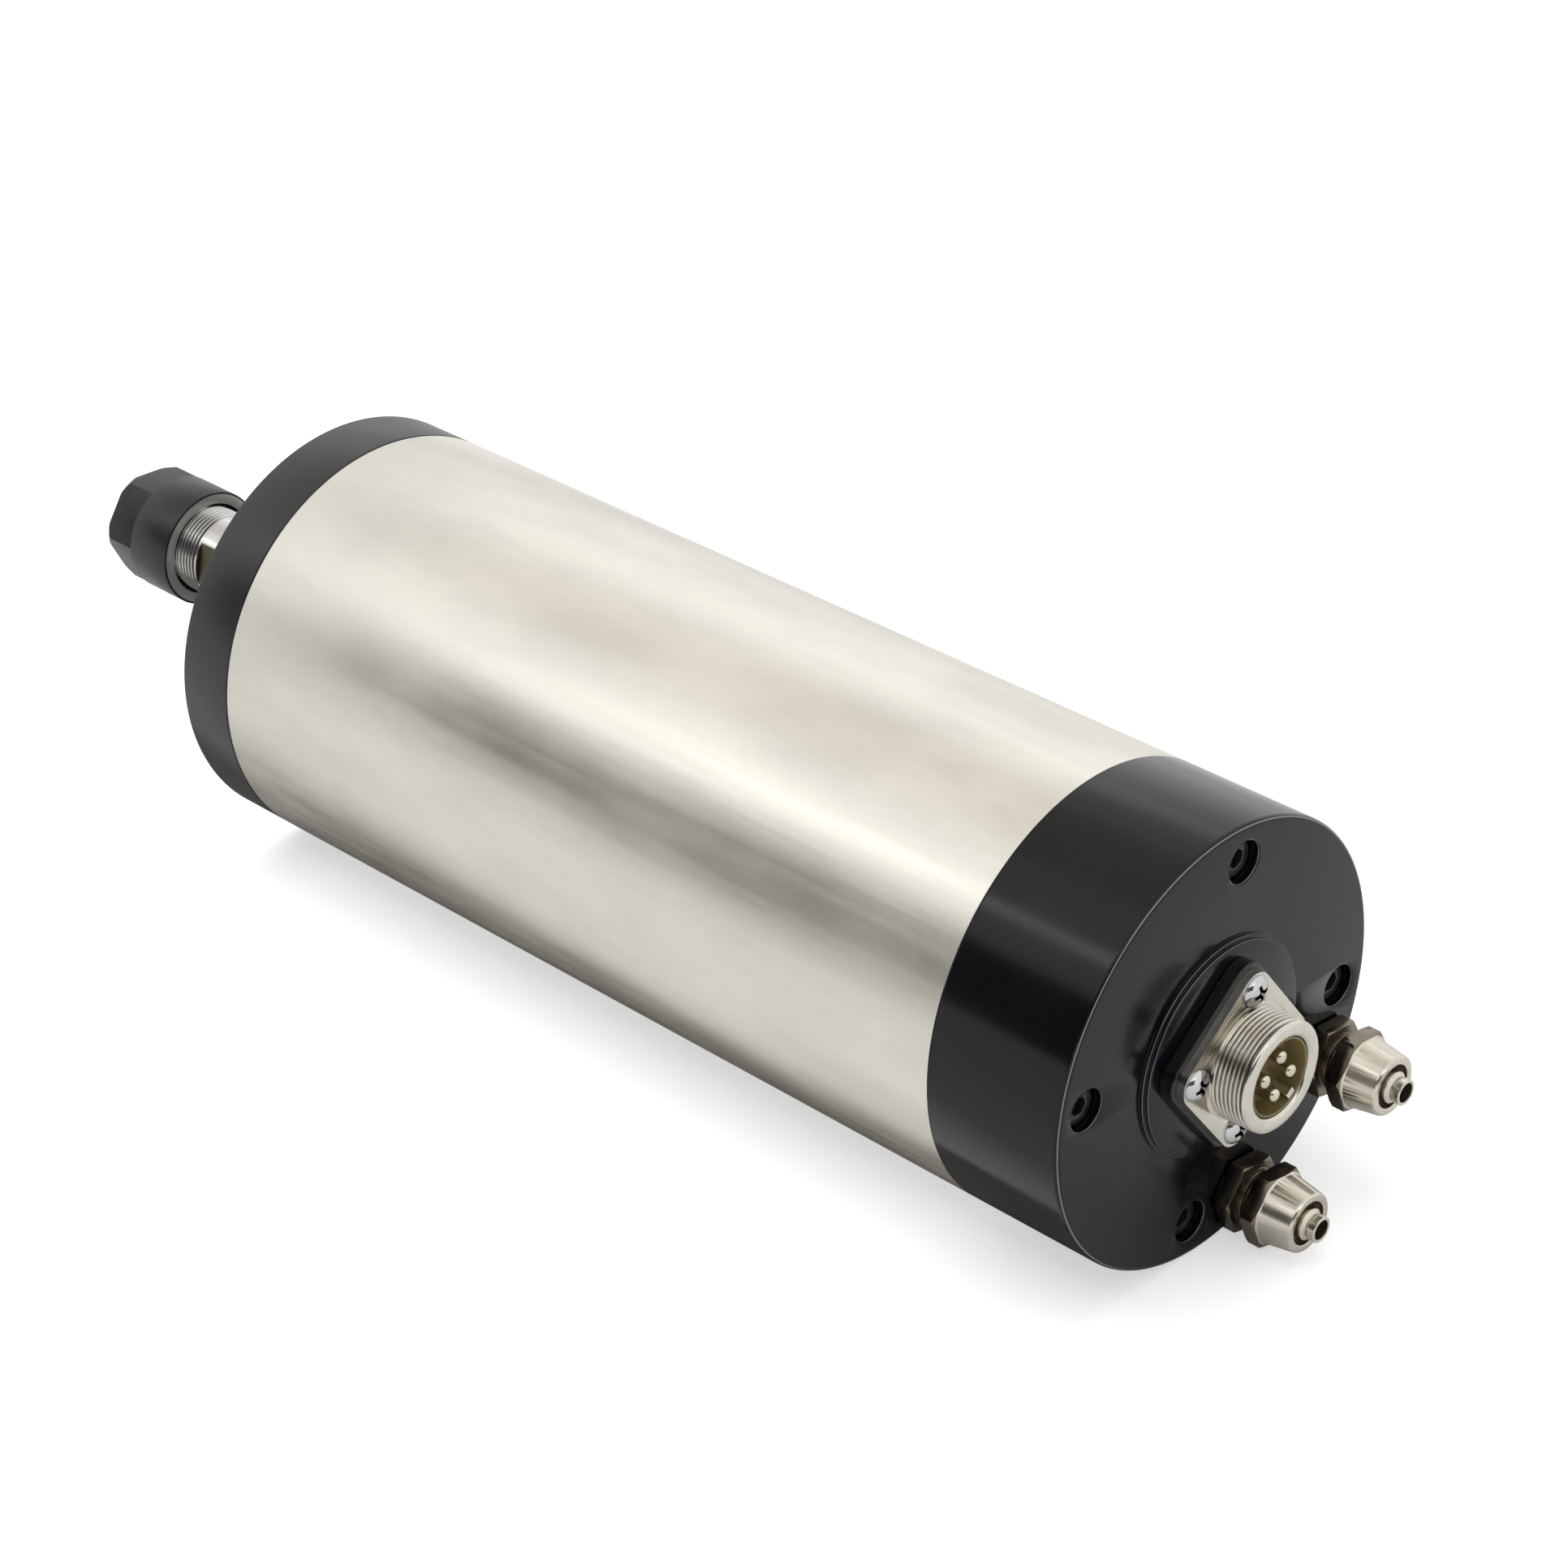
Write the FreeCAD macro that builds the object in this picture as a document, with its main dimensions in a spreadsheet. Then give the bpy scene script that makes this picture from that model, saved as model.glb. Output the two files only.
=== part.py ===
import FreeCAD, Part
import os
import re
import Sketcher

# Motor spindle, water cooled, with a collet nose.
# The spindle axis is Y with the nose towards +Y, and Z is up.
# Every length along the axis is counted from the flat rear face of the rear cap;
# each piece is then placed so that the middle of the clamping sleeve is the origin.
# Millimetres and degrees.

SIZES = {
    # main outline
    "body_diameter": 65.0,
    "rear_cap_length": 22.0,
    "sleeve_length": 140.0,
    "front_cap_length": 10.0,
    "sleeve_wall": 2.5,
    "slip_gap": 0.05,
    "seam_bevel": 0.25,
    "rim_round": 0.8,
    "front_edge_bevel": 0.3,
    "spigot_length": 6.0,
    # cap screws
    "screw_inset": 5.5,
    "screw_first_angle": 82.7,
    "screw_count": 4,
    "screw_hole_radius": 1.7,
    "screw_shank_radius": 1.5,
    "screw_head_radius": 2.75,
    "screw_head_height": 3.0,
    "counterbore_radius": 3.0,
    "counterbore_depth": 4.4,
    "key_socket_width": 2.5,
    "key_socket_depth": 1.6,
    "screw_engagement": 8.0,
    # rear cap
    "boss_radius": 16.1,
    "boss_height": 1.1,
    "boss_step": 0.5,
    "connector_hole_radius": 7.5,
    "end_wall": 12.0,
    "cap_wall": 9.0,
    # coolant ports
    "port_inset": 5.3,
    "port_middle_angle": -52.0,
    "port_spread": 47.5,
    "port_thread_radius": 3.0,
    "port_depth": 8.5,
    "port_play": 0.5,
    "channel_bore_radius": 1.2,
    # coolant jacket
    "jacket_end_length": 10.0,
    "channel_depth": 2.55,
    "rib_width": 3.0,
    "rib_count": 4,
    "rib_root": 0.4,
    "rib_play": 0.075,
    "turn_gap": 10.0,
    "seal_offset": 4.0,
    "seal_radius": 0.5,
    "seal_groove_play": 0.1,
    "jacket_wall": 4.9,
    # stator
    "stator_rear_offset": 22.0,
    "stator_front_offset": 38.0,
    "air_gap": 0.4,
    "slot_count": 12,
    "slot_width": 3.6,
    "yoke_thickness": 4.0,
    "tooth_tip": 1.3,
    "slot_mouth_width": 1.6,
    "winding_play": 0.2,
    "end_turn_length": 12.0,
    "end_turn_clearance": 2.0,
    "end_turn_bevel": 2.0,
    "slot_bar_overlap": 1.0,
    # rotor
    "rotor_inset": 1.0,
    "end_ring_length": 5.0,
    "end_ring_wall": 3.5,
    "shaft_core_radius": 8.0,
    "front_shoulder_radius": 9.0,
    "rear_shoulder_radius": 7.2,
    "nose_radius": 7.0,
    "shoulder_length": 8.0,
    "core_relief": 2.0,
    "shaft_stub": 1.0,
    "nose_bevel": 0.6,
    # front bearings
    "front_lip": 10.5,
    "front_bore_radius": 7.5,
    "front_ring_radius": 16.0,
    "front_bearing_width": 9.0,
    "front_ball_radius": 2.4,
    "front_ball_count": 9,
    "spacer_length": 2.0,
    "spacer_wall": 1.6,
    "hub_wall": 3.95,
    "retainer_length": 3.0,
    "retainer_wall": 2.6,
    "lock_nut_length": 4.5,
    "lock_nut_radius": 10.4,
    "dust_ring_length": 4.6,
    "dust_ring_radius": 10.8,
    "dust_gap": 0.4,
    # rear bearing
    "rear_bore_radius": 6.0,
    "rear_ring_radius": 14.0,
    "rear_bearing_width": 8.0,
    "rear_ball_radius": 2.3,
    "rear_ball_count": 8,
    "seat_thickness": 8.0,
    "seat_wall": 2.0,
    "seat_hub_wall": 2.0,
    "seat_hub_length": 3.0,
    "seat_hole_radius": 9.0,
    "spring_thickness": 0.8,
    "spring_inner_radius": 11.6,
    "circlip_length": 1.0,
    "circlip_radius": 7.4,
    # rolling elements
    "shoulder_share": 0.6,
    "ball_play": 0.12,
    "cage_wall": 1.4,
    "cage_side": 0.7,
    "pocket_play": 0.12,
    # nose, collet and nut
    "nut_distance": 32.8,
    "nut_diameter": 19.0,
    "nut_length": 15.2,
    "nut_flat_width": 16.4,
    "nut_flat_length": 6.7,
    "nut_flat_angle": -3.0,
    "nut_back_edge": 0.3,
    "nut_bevel_width": 0.9,
    "nut_bevel_length": 1.3,
    "nut_recess_radius": 7.6,
    "nut_recess_depth": 1.2,
    "thread_play": 0.05,
    "nut_mouth_radius": 4.9,
    "nut_mouth_bevel": 1.0,
    "shaft_in_nut": 8.6,
    "thread_length": 13.0,
    "wrench_flat_width": 12.0,
    "wrench_flat_length": 11.0,
    "wrench_flat_angle": -11.0,
    "taper_mouth_radius": 5.6,
    "taper_angle": 8.0,
    "taper_length": 17.0,
    "drawbar_bore_radius": 3.2,
    "drawbar_bore_length": 20.0,
    "collet_bore_radius": 3.0,
    "collet_length": 18.0,
    "collet_nose_length": 1.8,
    "collet_nose_angle": 30.0,
    "collet_play": 0.12,
    "collet_groove_depth": 0.9,
    "collet_groove_start": 1.6,
    "collet_groove_width": 1.0,
    "collet_slot_width": 0.6,
    "collet_slot_count": 4,
    "collet_land": 3.0,
    # power connector
    "gasket_thickness": 2.3,
    "gasket_side": 21.4,
    "gasket_corner": 3.3,
    "flange_thickness": 1.3,
    "flange_side": 20.2,
    "flange_corner": 3.1,
    "flange_angle": 83.5,
    "flange_screw_circle": 10.3,
    "flange_screw_radius": 1.25,
    "flange_screw_head_radius": 2.3,
    "flange_screw_head_height": 1.1,
    "flange_screw_length": 8.0,
    "flange_hole_play": 0.15,
    "barrel_neck_radius": 7.5,
    "barrel_neck_length": 1.3,
    "barrel_radius": 8.0,
    "barrel_length": 6.2,
    "barrel_bevel": 0.35,
    "barrel_bore_radius": 5.8,
    "barrel_tail_length": 8.0,
    "barrel_tail_play": 0.3,
    "insulator_recess": 4.0,
    "insulator_length": 12.0,
    "liner_wall": 0.35,
    "liner_setback": 0.5,
    "pin_count": 4,
    "pin_circle_radius": 2.8,
    "pin_radius": 1.0,
    "pin_first_angle": 80.0,
    "pin_setback": 0.4,
    "pin_tail_length": 3.0,
    "key_angle": -55.0,
    "key_height": 1.4,
    "key_width": 1.6,
    "key_setback": 0.6,
    "key_play": 0.5,
    "lead_radius": 0.8,
    "lead_inset": 4.4,
    "lead_straight": 3.0,
    "lead_reach": 4.0,
    "lead_hole_radius": 1.4,
    # hose fittings
    "washer_thickness": 0.3,
    "washer_radius": 4.6,
    "fitting_hex_width": 10.0,
    "fitting_hex_length": 2.5,
    "fitting_thread_radius": 4.2,
    "fitting_thread_length": 6.2,
    "fitting_bore_radius": 1.45,
    "fitting_hex_angle": 53.0,
    "barb_radius": 2.85,
    "barb_length": 3.9,
    "barb_lead": 0.6,
    "tip_radius": 1.9,
    "tip_length": 1.3,
    "cap_nut_gap": 1.9,
    "cap_nut_back_bevel": 0.5,
    "cap_nut_back_edge": 0.3,
    "cap_nut_hex_width": 10.4,
    "cap_nut_hex_length": 1.9,
    "cap_nut_bevel_length": 0.6,
    "cap_nut_shoulder_radius": 5.05,
    "cap_nut_cone_length": 4.9,
    "cap_nut_front_radius": 4.3,
    "cap_nut_edge": 0.4,
    "cap_nut_mouth_radius": 3.2,
    "cap_nut_mouth_length": 1.6,
    "cap_nut_mouth_cone": 1.0,
}

# positions along the axis, from the rear face
SLEEVE_END = "(rear_cap_length + sleeve_length)"
FRONT_FACE = "(rear_cap_length + sleeve_length + front_cap_length)"
SPIGOT_END = "(rear_cap_length + spigot_length)"
JACKET_START = "(rear_cap_length + spigot_length + seat_thickness)"
JACKET_END = "(rear_cap_length + sleeve_length - spigot_length)"
STATOR_START = "(" + JACKET_START + " + stator_rear_offset)"
STATOR_END = "(" + JACKET_END + " - stator_front_offset)"
BEARING_FRONT = "(" + FRONT_FACE + " - front_lip)"
BEARING_A = "(" + BEARING_FRONT + " - front_bearing_width)"
BEARING_B = "(" + BEARING_A + " - spacer_length - front_bearing_width)"
REAR_BEARING = "(" + SPIGOT_END + " + seat_wall + spring_thickness)"
REAR_BEARING_END = "(" + REAR_BEARING + " + rear_bearing_width)"
NUT_REAR = "(" + FRONT_FACE + " + nut_distance)"
NUT_FRONT = "(" + NUT_REAR + " + nut_length)"
SHAFT_END = "(" + NUT_REAR + " + shaft_in_nut)"
BOSS_FACE = "(-boss_height)"
FLANGE_BACK = "(-boss_height - gasket_thickness)"
FLANGE_FRONT = "(-boss_height - gasket_thickness - flange_thickness)"
BARREL_FRONT = "(" + FLANGE_FRONT + " - barrel_length)"
HEX_BACK = "(-washer_thickness)"
HEX_FRONT = "(-washer_thickness - fitting_hex_length)"
CAP_NUT_BACK = "(" + HEX_FRONT + " - cap_nut_gap)"

# radii shared by mating pieces
OUTER = "(body_diameter / 2)"
SLEEVE_BORE = "(body_diameter / 2 - sleeve_wall)"
SPIGOT = "(body_diameter / 2 - sleeve_wall - slip_gap)"
SCREW_CIRCLE = "(body_diameter / 2 - screw_inset)"
PORT_CIRCLE = "(body_diameter / 2 - port_inset)"
CAVITY = "(body_diameter / 2 - cap_wall)"
CHANNEL_FLOOR = "(" + SPIGOT + " - channel_depth)"
JACKET_BORE = "(" + SPIGOT + " - jacket_wall)"
STATOR = "(" + JACKET_BORE + " - slip_gap)"
SLOT_BOTTOM = "(" + STATOR + " - yoke_thickness)"
ROTOR = "((shaft_core_radius + " + SLOT_BOTTOM + ") / 2 - rotor_inset)"
STATOR_BORE = "(" + ROTOR + " + air_gap)"
SLOT_SHOULDER = "(" + STATOR_BORE + " + tooth_tip)"
END_TURN = "(" + STATOR + " - end_turn_clearance)"
LEAD_CIRCLE = "(" + STATOR + " - lead_inset)"
HUB = "(front_ring_radius + slip_gap + hub_wall)"
SEAT_HUB = "(rear_ring_radius + slip_gap + seat_hub_wall)"

doc = FreeCAD.newDocument("MotorSpindle")
sheet = doc.addObject("Spreadsheet::Sheet", "Dims")
for row, (name, size) in enumerate(SIZES.items(), 1):
    sheet.set("A%d" % row, name)
    sheet.set("B%d" % row, str(size))
    sheet.setAlias("B%d" % row, name)
doc.recompute()

SUBPARTS = []


def bound(expression):
    """Point every size name of an expression at its cell."""
    def cell(match):
        word = match.group(0)
        return "Dims." + word if word in SIZES else word

    return re.sub(r"[a-z_]+", cell, expression)


def bind(item, prop, expression):
    item.setExpression(prop, bound(expression))


def origin_item(body, role):
    return next(f for f in body.Origin.OriginFeatures if f.Role == role)


def new_body(name, x="0", z="0"):
    """A piece whose own Y axis is the spindle axis, or lies beside it at x, z."""
    body = doc.addObject("PartDesign::Body", name)
    body.Label = name
    body.AllowCompound = True
    body.Placement = FreeCAD.Placement(FreeCAD.Vector(), FreeCAD.Rotation(FreeCAD.Vector(0, 1, 0), 0))
    bind(body, "Placement.Base.x", x)
    bind(body, "Placement.Base.y", "-(rear_cap_length + sleeve_length / 2)")
    bind(body, "Placement.Base.z", z)
    SUBPARTS.append(body)
    return body


def outline(body, name, points, plane="XY_Plane", level="0"):
    """A closed outline of straight edges; each corner follows two expressions."""
    sketch = body.newObject("Sketcher::SketchObject", name)
    sketch.AttachmentSupport = [(origin_item(body, plane), "")]
    sketch.MapMode = "FlatFace"
    if level != "0":
        bind(sketch, "AttachmentOffset.Base.z", "-" + level)
    count = len(points)
    start = [FreeCAD.Vector(10 + i, i * i % 11, 0) for i in range(count)]
    sketch.addGeometry([Part.LineSegment(start[i], start[(i + 1) % count]) for i in range(count)], False)
    joined = [Sketcher.Constraint("Coincident", i, 2, (i + 1) % count, 1) for i in range(count)]
    placed = []
    for i in range(count):
        placed.append(Sketcher.Constraint("DistanceX", -1, 1, i, 1, start[i].x))
        placed.append(Sketcher.Constraint("DistanceY", -1, 1, i, 1, start[i].y))
    sketch.addConstraint(joined + placed)
    for i, (across, along) in enumerate(points):
        bind(sketch, "Constraints[%d]" % (count + 2 * i), across)
        bind(sketch, "Constraints[%d]" % (count + 2 * i + 1), along)
    return sketch


def disc(body, name, radius, level, x="0", z="0"):
    """A circle across the axis at the given level."""
    sketch = body.newObject("Sketcher::SketchObject", name)
    sketch.AttachmentSupport = [(origin_item(body, "XZ_Plane"), "")]
    sketch.MapMode = "FlatFace"
    bind(sketch, "AttachmentOffset.Base.z", "-" + level)
    sketch.addGeometry(Part.Circle(FreeCAD.Vector(1, 1, 0), FreeCAD.Vector(0, 0, 1), 1.0), False)
    sketch.addConstraint([
        Sketcher.Constraint("DistanceX", -1, 1, 0, 3, 1.0),
        Sketcher.Constraint("DistanceY", -1, 1, 0, 3, 1.0),
        Sketcher.Constraint("Radius", 0, 1.0),
    ])
    bind(sketch, "Constraints[0]", x)
    bind(sketch, "Constraints[1]", z)
    bind(sketch, "Constraints[2]", radius)
    return sketch


def rectangle(body, name, x_low, x_high, z_low, z_high, level):
    return outline(body, name, [(x_low, z_low), (x_high, z_low), (x_high, z_high), (x_low, z_high)],
                   "XZ_Plane", level)


def block(low, high, half, angle):
    """Corners of a block across the axis, from low to high in the direction of the angle."""
    corners = []
    for reach, side in ((low, -1), (high, -1), (high, 1), (low, 1)):
        corners.append(("(%s) * cos(%s) - %d * (%s) * sin(%s)" % (reach, angle, side, half, angle),
                        "(%s) * sin(%s) + %d * (%s) * cos(%s)" % (reach, angle, side, half, angle)))
    return corners


def hexagon(body, name, width, angle, level):
    corners = []
    for i in range(6):
        turn = "%s + %d" % (angle, 60 * i)
        corners.append(("%s / sqrt(3) * cos(%s)" % (width, turn), "%s / sqrt(3) * sin(%s)" % (width, turn)))
    return outline(body, name, corners, "XZ_Plane", level)


def turned(name, points, **place):
    """A piece turned about its own Y axis from a half section of radius and length."""
    body = new_body(name, **place)
    turn(body, name + "_section", points)
    return body


def turn(body, name, points):
    sketch = outline(body, name, points)
    solid = body.newObject("PartDesign::Revolution", name + "_turned")
    solid.Profile = sketch
    solid.ReferenceAxis = (sketch, ["V_Axis"])
    solid.Angle = 360
    return solid


def groove(body, name, points):
    """Turns a half section away from the piece."""
    doc.recompute()
    before = body.Shape.Volume
    sketch = outline(body, name, points)
    cut = body.newObject("PartDesign::Groove", name + "_cut")
    cut.Profile = sketch
    cut.ReferenceAxis = (sketch, ["V_Axis"])
    cut.Angle = 360
    doc.recompute()
    if body.Shape.Volume > before - 1e-6:
        raise RuntimeError(name + " removes nothing")
    return cut


def pad(body, sketch, length):
    """Raises a sketch towards -Y, away from the nose."""
    solid = body.newObject("PartDesign::Pad", sketch.Name + "_pad")
    solid.Profile = sketch
    bind(solid, "Length", length)
    return solid


def pocket(body, sketch, length):
    """Sinks a sketch towards -Y; the volume has to fall."""
    doc.recompute()
    before = body.Shape.Volume
    cut = body.newObject("PartDesign::Pocket", sketch.Name + "_pocket")
    cut.Profile = sketch
    cut.Reversed = True
    bind(cut, "Length", length)
    doc.recompute()
    if body.Shape.Volume > before - 1e-6:
        raise RuntimeError(sketch.Name + " removes nothing")
    return cut


def around(body, name, features, count):
    """Repeats features evenly about the piece's own axis."""
    doc.recompute()
    pattern = body.newObject("PartDesign::PolarPattern", name)
    pattern.Originals = features
    pattern.Axis = (origin_item(body, "Y_Axis"), [""])
    pattern.Angle = 360
    bind(pattern, "Occurrences", count)
    body.Tip = pattern
    doc.recompute()
    return pattern


def polar(radius, angle):
    return "%s * cos(%s)" % (radius, angle), "%s * sin(%s)" % (radius, angle)


def holes(body, name, radius, count, circle, angle, high, low):
    """Drills a ring of round holes between two levels."""
    x, z = polar(circle, angle)
    cut = pocket(body, disc(body, name, radius, high, x, z), "%s - %s" % (high, low))
    return around(body, name + "_ring", [cut], count)


def round_edges(body, name, base, radius, chosen):
    doc.recompute()
    edges = ["Edge%d" % (i + 1) for i, edge in enumerate(base.Shape.Edges) if chosen(edge)]
    fillet = body.newObject("PartDesign::Fillet", name)
    fillet.Base = (base, edges)
    bind(fillet, "Radius", radius)
    return fillet


def along_axis(edge):
    if not isinstance(edge.Curve, Part.Line):
        return False
    return abs(edge.Curve.Direction.y) > 0.99


PORT_ANGLES = {
    "inlet": "(port_middle_angle + port_spread / 2)",
    "outlet": "(port_middle_angle - port_spread / 2)",
}

# outer sleeve: the bright clamping tube
turned("outer_sleeve", [
    (SLEEVE_BORE, "rear_cap_length"),
    (OUTER + " - seam_bevel", "rear_cap_length"),
    (OUTER, "rear_cap_length + seam_bevel"),
    (OUTER, SLEEVE_END + " - seam_bevel"),
    (OUTER + " - seam_bevel", SLEEVE_END),
    (SLEEVE_BORE, SLEEVE_END),
])

# rear cap: end wall with the raised connector seat, wiring space and spigot
rear_cap = turned("rear_cap", [
    ("connector_hole_radius", BOSS_FACE),
    ("boss_radius - boss_step", BOSS_FACE),
    ("boss_radius - boss_step", "-boss_height / 2"),
    ("boss_radius", "-boss_height / 2"),
    ("boss_radius", "0"),
    (OUTER, "0"),
    (OUTER, "rear_cap_length - seam_bevel"),
    (OUTER + " - seam_bevel", "rear_cap_length"),
    (SPIGOT, "rear_cap_length"),
    (SPIGOT, SPIGOT_END),
    (CAVITY, SPIGOT_END),
    (CAVITY, "end_wall"),
    ("connector_hole_radius", "end_wall"),
])
doc.recompute()
round_edges(rear_cap, "rear_rim", rear_cap.Tip, "rim_round",
            lambda e: isinstance(e.Curve, Part.Circle)
            and abs(e.Curve.Radius - SIZES["body_diameter"] / 2) < 1e-6 and abs(e.Curve.Center.y) < 1e-6)
holes(rear_cap, "rear_cap_hole", "screw_hole_radius", "screw_count", SCREW_CIRCLE, "screw_first_angle",
      SPIGOT_END, "counterbore_depth")
holes(rear_cap, "rear_cap_counterbore", "counterbore_radius", "screw_count", SCREW_CIRCLE,
      "screw_first_angle", "counterbore_depth", "0")
for port, angle in PORT_ANGLES.items():
    x, z = polar(PORT_CIRCLE, angle)
    pocket(rear_cap, disc(rear_cap, port + "_port", "port_thread_radius", "port_depth", x, z), "port_depth")
    pocket(rear_cap, disc(rear_cap, port + "_passage", "channel_bore_radius", SPIGOT_END, x, z), SPIGOT_END)
holes(rear_cap, "flange_tapping", "flange_screw_radius", "screw_count", "flange_screw_circle", "flange_angle",
      "flange_screw_length", BOSS_FACE)


def cap_screws(name, head_face, shank_end, sign):
    """Four socket head screws; sign +1 points them at the nose, -1 at the rear."""
    body = new_body(name)
    x, z = polar(SCREW_CIRCLE, "screw_first_angle")
    head_high = head_face + " + screw_head_height" if sign > 0 else head_face
    head_section = disc(body, name + "_head", "screw_head_radius", "(" + head_high + ")", x, z)
    head = pad(body, head_section, "screw_head_height")
    if sign > 0:
        shank_high = shank_end
        shank_length = "%s - %s - screw_head_height" % (shank_end, head_face)
    else:
        shank_high = "(" + head_face + " - screw_head_height)"
        shank_length = "%s - screw_head_height - %s" % (head_face, shank_end)
    shank = pad(body, disc(body, name + "_shank", "screw_shank_radius", shank_high, x, z), shank_length)
    socket_high = head_face + " + key_socket_depth" if sign > 0 else head_face
    corners = []
    for i in range(6):
        corners.append(("%s + key_socket_width / sqrt(3) * cos(%d)" % (x, 60 * i),
                        "%s + key_socket_width / sqrt(3) * sin(%d)" % (z, 60 * i)))
    key_socket = outline(body, name + "_socket", corners, "XZ_Plane", "(" + socket_high + ")")
    socket_cut = pocket(body, key_socket, "key_socket_depth")
    around(body, name + "_ring", [head, shank, socket_cut], "screw_count")
    return body


cap_screws("rear_cap_screws", "(counterbore_depth - screw_head_height)",
           "(" + JACKET_START + " + screw_engagement)", 1)

# front cap: end wall flush with the sleeve, spigot and bearing hub
front_cap = turned("front_cap", [
    ("dust_ring_radius + dust_gap", FRONT_FACE),
    (OUTER + " - front_edge_bevel", FRONT_FACE),
    (OUTER, FRONT_FACE + " - front_edge_bevel"),
    (OUTER, SLEEVE_END + " + seam_bevel"),
    (OUTER + " - seam_bevel", SLEEVE_END),
    (SPIGOT, SLEEVE_END),
    (SPIGOT, JACKET_END),
    (HUB, JACKET_END),
    (HUB, BEARING_B + " - retainer_length"),
    ("front_ring_radius + slip_gap", BEARING_B + " - retainer_length"),
    ("front_ring_radius + slip_gap", BEARING_FRONT),
    ("dust_ring_radius + dust_gap", BEARING_FRONT),
])
holes(front_cap, "front_cap_counterbore", "counterbore_radius", "screw_count", SCREW_CIRCLE,
      "screw_first_angle", FRONT_FACE, "(" + FRONT_FACE + " - counterbore_depth)")
holes(front_cap, "front_cap_hole", "screw_hole_radius", "screw_count", SCREW_CIRCLE, "screw_first_angle",
      FRONT_FACE, JACKET_END)
cap_screws("front_cap_screws", "(" + FRONT_FACE + " - counterbore_depth + screw_head_height)",
           "(" + JACKET_END + " - screw_engagement)", -1)

# rear bearing seat, clamped between the rear cap and the jacket
seat = turned("rear_bearing_seat", [
    ("seat_hole_radius", SPIGOT_END),
    (SPIGOT, SPIGOT_END),
    (SPIGOT, JACKET_START),
    (SEAT_HUB, JACKET_START),
    (SEAT_HUB, JACKET_START + " + seat_hub_length"),
    ("rear_ring_radius + slip_gap", JACKET_START + " + seat_hub_length"),
    ("rear_ring_radius + slip_gap", SPIGOT_END + " + seat_wall"),
    ("seat_hole_radius", SPIGOT_END + " + seat_wall"),
])
holes(seat, "seat_screw_hole", "screw_hole_radius", "screw_count", SCREW_CIRCLE, "screw_first_angle",
      JACKET_START, SPIGOT_END)
holes(seat, "seat_lead_hole", "lead_hole_radius", "pin_count", LEAD_CIRCLE, "pin_first_angle",
      JACKET_START, SPIGOT_END)
for port, angle in PORT_ANGLES.items():
    x, z = polar(PORT_CIRCLE, angle)
    passage = disc(seat, port + "_seat_passage", "channel_bore_radius", JACKET_START, x, z)
    pocket(seat, passage, "seat_thickness")

# coolant jacket: a zigzag of axial channels under the sleeve
CHANNEL_START = "(" + JACKET_START + " + jacket_end_length)"
CHANNEL_END = "(" + JACKET_END + " - jacket_end_length)"
SEAL_CENTRE = "(" + SLEEVE_BORE + " - seal_radius)"
GROOVE_FLOOR = "(" + SLEEVE_BORE + " - 2 * seal_radius - seal_groove_play)"
jacket = turned("coolant_jacket", [
    (JACKET_BORE, JACKET_START),
    (SPIGOT, JACKET_START),
    (SPIGOT, CHANNEL_START),
    (CHANNEL_FLOOR, CHANNEL_START),
    (CHANNEL_FLOOR, CHANNEL_END),
    (SPIGOT, CHANNEL_END),
    (SPIGOT, JACKET_END),
    (JACKET_BORE, JACKET_END),
])
for name, turn_angle, high in (
        ("rear_rib", "(port_middle_angle + 180 / rib_count)", "(" + CHANNEL_END + " - turn_gap)"),
        ("front_rib", "port_middle_angle", CHANNEL_END)):
    corners = block(CHANNEL_FLOOR + " - rib_root", SPIGOT + " - rib_play", "rib_width / 2", turn_angle)
    section = outline(jacket, name, corners, "XZ_Plane", high)
    rib = pad(jacket, section, "%s - %s - turn_gap" % (CHANNEL_END, CHANNEL_START))
    around(jacket, name + "_ring", [rib], "rib_count")
    if name == "front_rib":
        closing = outline(jacket, "dividing_rib", corners, "XZ_Plane", "(" + CHANNEL_START + " + turn_gap)")
        pad(jacket, closing, "turn_gap")
SEAL_LEVELS = {
    "rear_jacket_seal": "(" + JACKET_START + " + seal_offset)",
    "front_jacket_seal": "(" + JACKET_END + " - seal_offset)",
}
for name, level in SEAL_LEVELS.items():
    half = "(seal_radius + seal_groove_play)"
    groove(jacket, name + "_groove", [
        (GROOVE_FLOOR, level + " - " + half),
        (OUTER, level + " - " + half),
        (OUTER, level + " + " + half),
        (GROOVE_FLOOR, level + " + " + half),
    ])
holes(jacket, "jacket_rear_tapping", "screw_shank_radius", "screw_count", SCREW_CIRCLE, "screw_first_angle",
      "(" + JACKET_START + " + screw_engagement)", JACKET_START)
holes(jacket, "jacket_front_tapping", "screw_shank_radius", "screw_count", SCREW_CIRCLE,
      "screw_first_angle", JACKET_END, "(" + JACKET_END + " - screw_engagement)")
for port, angle in PORT_ANGLES.items():
    x, z = polar(PORT_CIRCLE, angle)
    pocket(jacket, disc(jacket, port + "_jacket_passage", "channel_bore_radius", CHANNEL_START, x, z),
           "jacket_end_length")


def seal_ring(name, level):
    body = new_body(name)
    ring = body.newObject("PartDesign::AdditiveTorus", name + "_ring")
    ring.AttachmentSupport = [(origin_item(body, "XZ_Plane"), "")]
    ring.MapMode = "FlatFace"
    bind(ring, "AttachmentOffset.Base.z", "-" + level)
    bind(ring, "Radius1", SEAL_CENTRE)
    bind(ring, "Radius2", "seal_radius")
    return body


for name, level in SEAL_LEVELS.items():
    seal_ring(name, level)

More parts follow.
